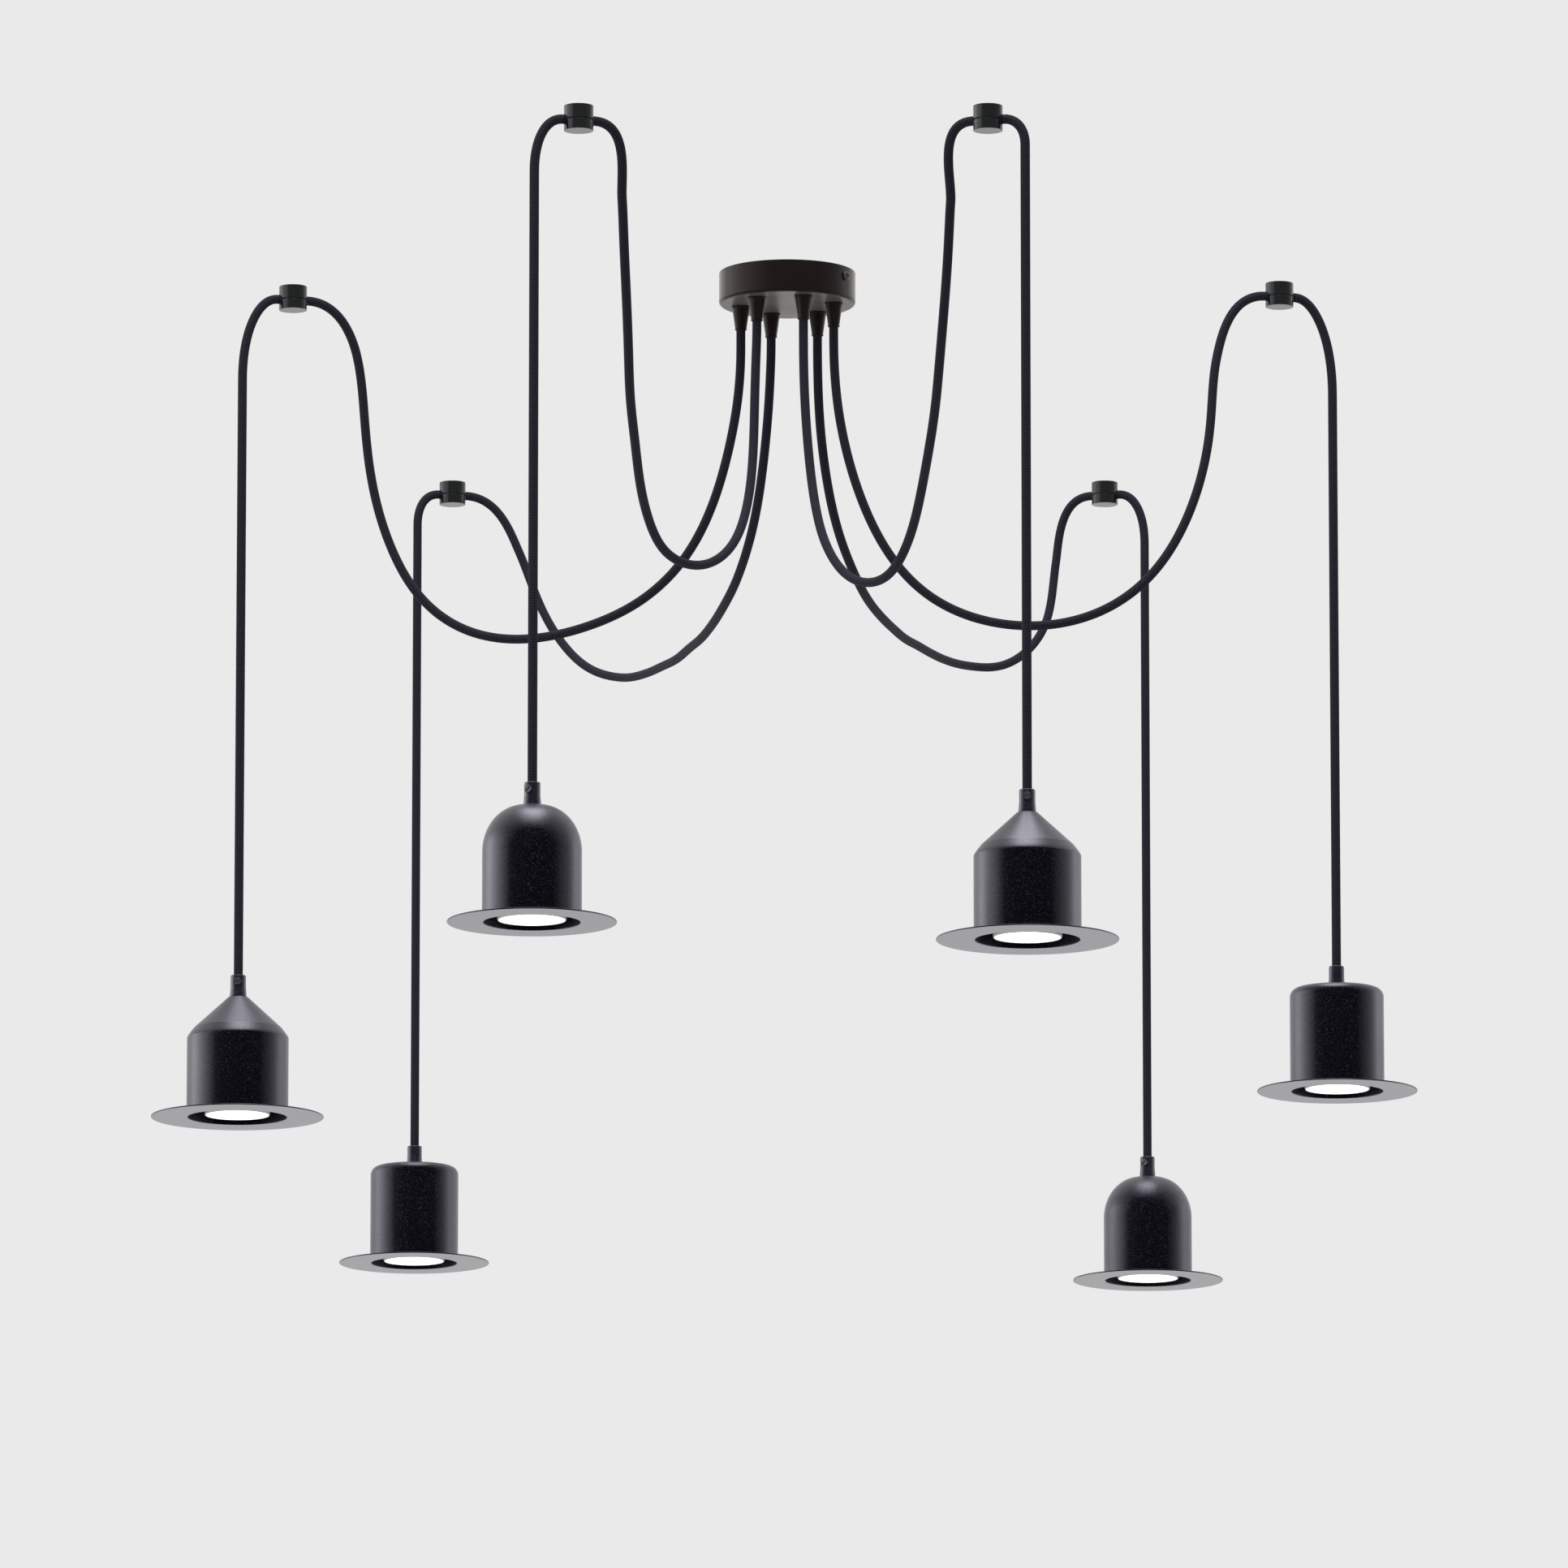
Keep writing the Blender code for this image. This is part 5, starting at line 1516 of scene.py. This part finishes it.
@dataclass(frozen=True)
class HatSizes:
    """The sizes of one form of hat, and how far its clamp's screw slot is turned."""

    brim: float
    crown: float
    height: float
    land: float
    slot_degrees: float


HATS = {
    HatForm.DOME: HatSizes(61.3 * MM, 36.0 * MM, 85.5 * MM, 7.2 * MM, 45.0),
    HatForm.CONE: HatSizes(66.0 * MM, 38.9 * MM, 93.0 * MM, 7.6 * MM, 4.0),
    HatForm.DRUM: HatSizes(61.3 * MM, 36.0 * MM, 80.0 * MM, 7.2 * MM, 20.0),
}


@dataclass
class Hat:
    """A spun hat with its collar, lamp holder and lamp, under one drop."""

    hanging: Hanging
    finishes: Finishes
    steps: int = 144
    crown_steps: int = 28
    wall: float = 1.0 * MM
    brim_thickness: float = 1.0 * MM
    brim_edge: float = 0.45 * MM
    mouth_edge: float = 0.6 * MM
    hole: float = 5.1 * MM
    brim_root: float = 1.6 * MM
    dome_round: float = 33.5 * MM
    cone_crease: float = 33.6 * MM
    cone_crease_drop: float = 24.0 * MM
    cone_shoulder_drop: float = 32.0 * MM
    cone_shoulder_power: float = 1.4
    drum_edge: float = 7.0 * MM
    flat_enough: float = -0.98
    collar_height: float = 17.0 * MM
    collar_radius: float = 5.9 * MM
    collar_foot: float = 6.5 * MM
    collar_rounding: float = 1.4 * MM
    collar_waist: float = 4.0 * MM
    waist_share: float = 0.45
    cord_hole: float = 3.8 * MM
    cord_tail: float = 1.5 * MM
    stem_radius: float = 4.8 * MM
    stem_length: float = 9.0 * MM
    screw_drop: float = 5.4 * MM
    screw_head: float = 2.9 * MM
    screw_head_height: float = 1.5 * MM
    screw_seat: float = 4.8 * MM
    screw_rounding: float = 0.35 * MM
    screw_neck: float = 1.5 * MM
    screw_neck_length: float = 0.6 * MM
    screw_slot: float = 0.9 * MM
    slot_depth: float = 0.8 * MM
    lens_recess: float = 1.6 * MM
    lens_radius: float = 23.6 * MM
    lens_rim: float = 0.5 * MM
    lens_back: float = 1.0 * MM
    lens_slope: float = 3.0 * MM
    lens_bulge: float = 0.05 * MM
    lamp_rim: float = 1.2 * MM
    lamp_radius: float = 25.0 * MM
    lamp_side: float = 8.0 * MM
    lamp_face_radius: float = 24.5 * MM
    lamp_side_rounding: float = 1.5 * MM
    lamp_waist: Triple = (19.0 * MM, 24.0 * MM, 6.0 * MM)
    lamp_neck: Triple = (12.5 * MM, 36.0 * MM, 5.0 * MM)
    lamp_top_rounding: float = 0.8 * MM
    lamp_length: float = 46.0 * MM
    pin_offset: float = 5.0 * MM
    pin_radius: float = 1.3 * MM
    pin_head: float = 2.4 * MM
    pin_neck: float = 3.6 * MM
    pin_length: float = 6.4 * MM
    pin_root: float = 1.0 * MM
    pin_rounding: float = 0.5 * MM

    @property
    def body(self) -> str:
        """The frame's body that the hat rides on."""
        return self.hanging.named("lamp")

    @property
    def sizes(self) -> HatSizes:
        """The sizes of this hat's form."""
        return HATS[self.hanging.form]

    @property
    def foot(self) -> float:
        """The height of the hat's top, where the collar stands."""
        return self.hanging.collar_top - self.collar_height

    @property
    def brim_height(self) -> float:
        """The height of the brim's underside."""
        return self.foot - self.sizes.height

    @property
    def cord_end(self) -> float:
        """Where the cord ends inside the collar's stem."""
        return self.foot - self.stem_length + self.cord_tail

    def seat(self, height: float, turn: float = 0.0) -> Matrix:
        """Return the place on the drop's line at a height, turned about it."""
        axis = self.hanging.axis
        return Matrix.Translation((axis.x, axis.y, height)) @ Matrix.Rotation(turn, 4, "Z")

    def crown_line(self, inset: float) -> list[Corner]:
        """Return the crown's side from its flat top down to its straight side.

        Args:
            inset: how far inside the outer face the line lies.

        Returns:
            Corners above the brim's underside.
        """
        sizes = self.sizes
        crown = sizes.crown - inset
        top = sizes.height - inset
        shares = [step / self.crown_steps for step in range(self.crown_steps + 1)]
        angles = [QUARTER * step / self.crown_steps for step in range(self.crown_steps + 1)]
        if self.hanging.form is HatForm.DOME:
            rise = self.dome_round - inset
            return [Corner(sizes.land + (crown - sizes.land) * math.sin(angle),
                           top - rise + rise * math.cos(angle)) for angle in angles]
        land = Corner(sizes.land, top)
        if self.hanging.form is HatForm.DRUM:
            edge = self.drum_edge - inset
            return [land] + [Corner(crown - edge + edge * math.sin(angle),
                                    top - edge + edge * math.cos(angle)) for angle in angles]
        crease = self.cone_crease - inset
        shoulder = sizes.height - self.cone_shoulder_drop
        fall = sizes.height - self.cone_crease_drop - inset - shoulder
        line = [land, Corner(crease, shoulder + fall)]
        for share in shares[1:]:
            line.append(Corner(crease + (crown - crease) * math.sin(QUARTER * share),
                               shoulder + fall * (1.0 - share) ** self.cone_shoulder_power))
        return line

    def make_hat(self) -> None:
        """Spin the hat: crown and brim in one sheet, with the collar's hole in its top."""
        sizes = self.sizes
        corners = [
            Corner(self.hole, sizes.height, FINE),
            *self.crown_line(0.0),
            Corner(sizes.crown, self.brim_thickness, self.brim_root),
            Corner(sizes.brim, self.brim_thickness, self.brim_edge),
            Corner(sizes.brim, 0.0, self.brim_edge),
            Corner(sizes.crown - self.wall, 0.0, self.mouth_edge),
            *self.crown_line(self.wall)[::-1],
            Corner(self.hole, sizes.height - self.wall, FINE),
        ]
        hat = turned(self.hanging.named("hat"), corners, arc_steps=6, margin=0.4 * MM,
                     steps=self.steps, seat=self.seat(self.brim_height))
        node = self.hanging.named("shade")
        dress(hat, self.finishes.hat, self.body, (node,))
        hat.data.materials.append(self.finishes.underside)
        lowest = self.brim_height + FINE
        for face in hat.data.polygons:
            flat = face.normal.z < self.flat_enough and face.center.z < lowest
            face.material_index = int(flat)

    def make_collar(self) -> None:
        """Turn the collar and its stem, seat the slotted screw in it and cut the screw's slot."""
        seat = self.seat(self.foot, math.radians(self.hanging.screw_degrees))
        collar = turned(self.hanging.named("collar"), [
            Corner(self.cord_hole, self.collar_height, EASY),
            Corner(self.collar_radius, self.collar_height, self.collar_rounding),
            Corner(self.collar_radius, self.collar_height * self.waist_share, self.collar_waist),
            Corner(self.collar_foot, SEAT_GAP, TRIM),
            Corner(self.stem_radius, SEAT_GAP),
            Corner(self.stem_radius, -self.stem_length, EASY),
            Corner(self.cord_hole, -self.stem_length, EASY),
        ], arc_steps=6, margin=0.2 * MM, steps=72, seat=seat)
        aim = seat @ Matrix.Translation((0.0, 0.0, self.collar_height - self.screw_drop))
        aim = aim @ SIDEWAYS
        carve(collar, bar(self.screw_head + SEAT_GAP, self.screw_seat, 2.0 * self.collar_radius,
                          steps=40, seat=aim))
        node = self.hanging.named("cord_clamp")
        dress(collar, self.finishes.collar, self.body, (node,))
        head = self.screw_seat + SEAT_GAP
        face = head + self.screw_head_height
        end = head - self.screw_neck_length
        screw = turned(self.hanging.named("collar_screw"), [
            Corner(0.0, face),
            Corner(self.screw_head, face, self.screw_rounding),
            Corner(self.screw_head, head, CRISP),
            Corner(self.screw_neck, head),
            Corner(self.screw_neck, end),
            Corner(0.0, end),
        ], arc_steps=4, margin=0.12 * MM, steps=48, seat=aim)
        tilt = aim @ Matrix.Rotation(math.radians(self.sizes.slot_degrees), 4, "Z")
        half = self.screw_slot / 2.0
        reach = 1.2 * self.screw_head
        slot = [(-half, -reach), (half, -reach), (half, reach), (-half, reach)]
        carve(screw, block(slot, face - self.slot_depth, face + self.slot_depth, tilt))
        dress(screw, self.finishes.dark_screw, self.body, ())

    def make_lamp(self) -> None:
        """Make the lamp's body, its two pins and its lit lens."""
        seat = self.seat(self.brim_height + self.lens_recess)
        well = self.lens_radius + CRISP
        node = self.hanging.named("bulb")
        led = self.hanging.named("lamp_led")
        lamp = turned(self.hanging.named("lamp_body"), [
            Corner(0.0, self.lamp_rim),
            Corner(well, self.lamp_rim),
            Corner(well, CRISP, CRISP),
            Corner(self.lamp_face_radius, 0.0, FINE),
            Corner(self.lamp_radius, self.lamp_rim, SOFT),
            Corner(self.lamp_radius, self.lamp_side, self.lamp_side_rounding),
            Corner(*self.lamp_waist),
            Corner(*self.lamp_neck),
            Corner(self.lamp_neck[0], self.lamp_length, self.lamp_top_rounding),
            Corner(0.0, self.lamp_length),
        ], arc_steps=6, margin=0.3 * MM, steps=96, seat=seat)
        dress(lamp, self.finishes.lamp_body, led, (node,))
        end = self.lamp_length + self.pin_length
        neck = self.lamp_length + self.pin_neck
        root = self.lamp_length - self.pin_root
        pin_seat = self.seat(self.brim_height + self.lens_recess, self.hanging.turn)
        for side, word in ((-1.0, "left"), (1.0, "right")):
            offset = Matrix.Translation((side * self.pin_offset, 0.0, 0.0))
            pin = turned(f"lamp_pin_{self.hanging.number}_{word}", [
                Corner(0.0, end),
                Corner(self.pin_head, end, self.pin_rounding),
                Corner(self.pin_head, neck, EASY),
                Corner(self.pin_radius, neck),
                Corner(self.pin_radius, root),
                Corner(0.0, root),
            ], arc_steps=4, margin=0.15 * MM, steps=32, seat=pin_seat @ offset)
            dress(pin, self.finishes.zinc, led, ())
        lens = turned(self.hanging.named("lamp_lens"), [
            Corner(0.0, 0.0),
            Corner(self.lens_radius - self.lens_slope, self.lens_bulge, self.lens_slope),
            Corner(self.lens_radius, self.lens_rim, FINE),
            Corner(self.lens_radius, self.lens_back),
            Corner(0.0, self.lens_back),
        ], arc_steps=5, margin=0.2 * MM, steps=96, seat=seat)
        dress(lens, self.finishes.lens, led, ())

    def build(self) -> None:
        """Make the hat and everything on it; the lamp holder keeps its shape."""
        self.make_hat()
        self.make_collar()
        self.make_lamp()
        repaint(self.hanging.named("lamp_holder"), self.finishes.ceramic)


# The studio


@dataclass(frozen=True)
class Softbox:
    """A soft white lamp of the studio, aimed at a point."""

    name: str
    place: Triple
    aim: Triple
    width: float
    depth: float
    power: float

    def build(self) -> None:
        """Hang the lamp."""
        light = bpy.data.lights.new(self.name, "AREA")
        light.shape = "RECTANGLE"
        light.size = self.width
        light.size_y = self.depth
        light.energy = self.power
        lamp = bpy.data.objects.new(self.name, light)
        lamp.location = self.place
        direction = Vector(self.aim) - Vector(self.place)
        lamp.rotation_euler = direction.to_track_quat("-Z", "Y").to_euler()
        bpy.context.scene.collection.objects.link(lamp)


@dataclass
class Studio:
    """The camera, the floor, the backdrop colour and the lamps."""

    camera_place: Triple = (-0.002498, -10.38504, -2.24533)
    camera_pitch: float = math.radians(100.080013)
    lens: float = 316.77
    sensor: float = 36.0
    sight: tuple[float, float] = (0.05, 200.0)
    floor_height: float = -3.3
    floor_half: float = 30.0
    backdrop: float = 0.823
    ambient: float = 0.42
    floor_tone: float = 0.76
    far_floor_glow: float = 0.49
    near_floor: float = 2.0
    far_floor: float = 11.0
    softboxes: tuple[Softbox, ...] = (
        Softbox("overhead", (0.0, -1.4, 5.5), (0.0, -0.1, -0.5), 3.0, 5.6, 440.0),
        Softbox("left_strip", (-5.0, -0.5, 0.4), (0.0, 0.1, -0.4), 8.0, 2.4, 140.0),
        Softbox("right_fill", (4.0, 1.8, -0.2), (0.0, 0.1, -0.4), 1.0, 2.6, 12.0),
    )

    def add_camera(self) -> None:
        """Set the camera at the photograph's place."""
        data = bpy.data.cameras.new("camera")
        data.lens = self.lens
        data.sensor_width = self.sensor
        data.clip_start, data.clip_end = self.sight
        camera = bpy.data.objects.new("camera", data)
        camera.location = self.camera_place
        camera.rotation_euler = (self.camera_pitch, 0.0, 0.0)
        bpy.context.scene.collection.objects.link(camera)
        bpy.context.scene.camera = camera

    def add_floor(self) -> None:
        """Lay the pale floor far below, seen only from above.

        Lamps light it as they light the object, so it keeps the shadow. Far out, where they no
        longer reach, it glows for the eye and in reflections, up to the backdrop's tone.
        """
        mesh = bpy.data.meshes.new("floor")
        half = self.floor_half
        corners = ((-half, -half), (half, -half), (half, half), (-half, half))
        mesh.from_pydata([(x, y, self.floor_height) for x, y in corners], [], [(0, 1, 2, 3)])
        floor = shown("floor", mesh)
        sheet = NodeSheet("pale_floor")
        place = sheet.node("NewGeometry").outputs
        out = sheet.node("VectorMath", {"operation": "LENGTH"}, Vector=place["Position"])
        glow = sheet.spread(out.outputs["Value"], 0.0, self.far_floor_glow, self.near_floor,
                            self.far_floor)
        tone = self.floor_tone
        sheet.set(Base_Color=(tone, tone, tone, 1.0), Roughness=0.9, Specular_IOR_Level=0.0,
                  Emission_Color=(1.0, 1.0, 1.0, 1.0),
                  Emission_Strength=sheet.math("MULTIPLY", glow, sheet.backdrop_rays()))
        clear = sheet.node("BsdfTransparent").outputs["BSDF"]
        surface = sheet.mixed(place["Backfacing"], sheet.shader.outputs["BSDF"], clear)
        sheet.feed(sheet.tree.nodes["Material Output"], Surface=surface)
        mesh.materials.append(sheet.material)

    def add_world(self) -> None:
        """Colour the backdrop for what sees it, and light softly from all round."""
        world = bpy.data.worlds.new("studio")
        bpy.context.scene.world = world
        world.use_nodes = True
        sheet = ShaderMaker(world.node_tree)
        soft = sheet.tree.nodes["Background"]
        sheet.feed(soft, Color=(1.0, 1.0, 1.0, 1.0), Strength=self.ambient)
        tone = self.backdrop
        seen = sheet.node("Background", Color=(tone, tone, tone, 1.0), Strength=1.0)
        surface = sheet.mixed(sheet.backdrop_rays(), soft.outputs["Background"],
                              seen.outputs["Background"])
        sheet.feed(sheet.tree.nodes["World Output"], Surface=surface)

    def build(self) -> None:
        """Set up the whole studio."""
        self.add_camera()
        self.add_floor()
        self.add_world()
        for softbox in self.softboxes:
            softbox.build()
        bpy.context.scene.view_settings.view_transform = "Standard"


def main() -> None:
    """Build the studio and the light, piece by piece."""
    logging.basicConfig(level=logging.INFO, format="%(message)s")
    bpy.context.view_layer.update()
    Studio().build()
    finishes = make_finishes()
    sleeve = sleeve_tree()
    repeat = repeat_tree()
    canopy = CanopySet(finishes, repeat)
    hooks = HookSet(finishes, repeat)
    for hanging in HANGINGS:
        cord = Cord(hanging, canopy, hooks, finishes, sleeve)
        cord.build_swag()
        cord.build_drop(Hat(hanging, finishes).cord_end)
    canopy.build()
    hooks.build()
    for hanging in HANGINGS:
        Hat(hanging, finishes).build()


if __name__ == "__main__":
    main()
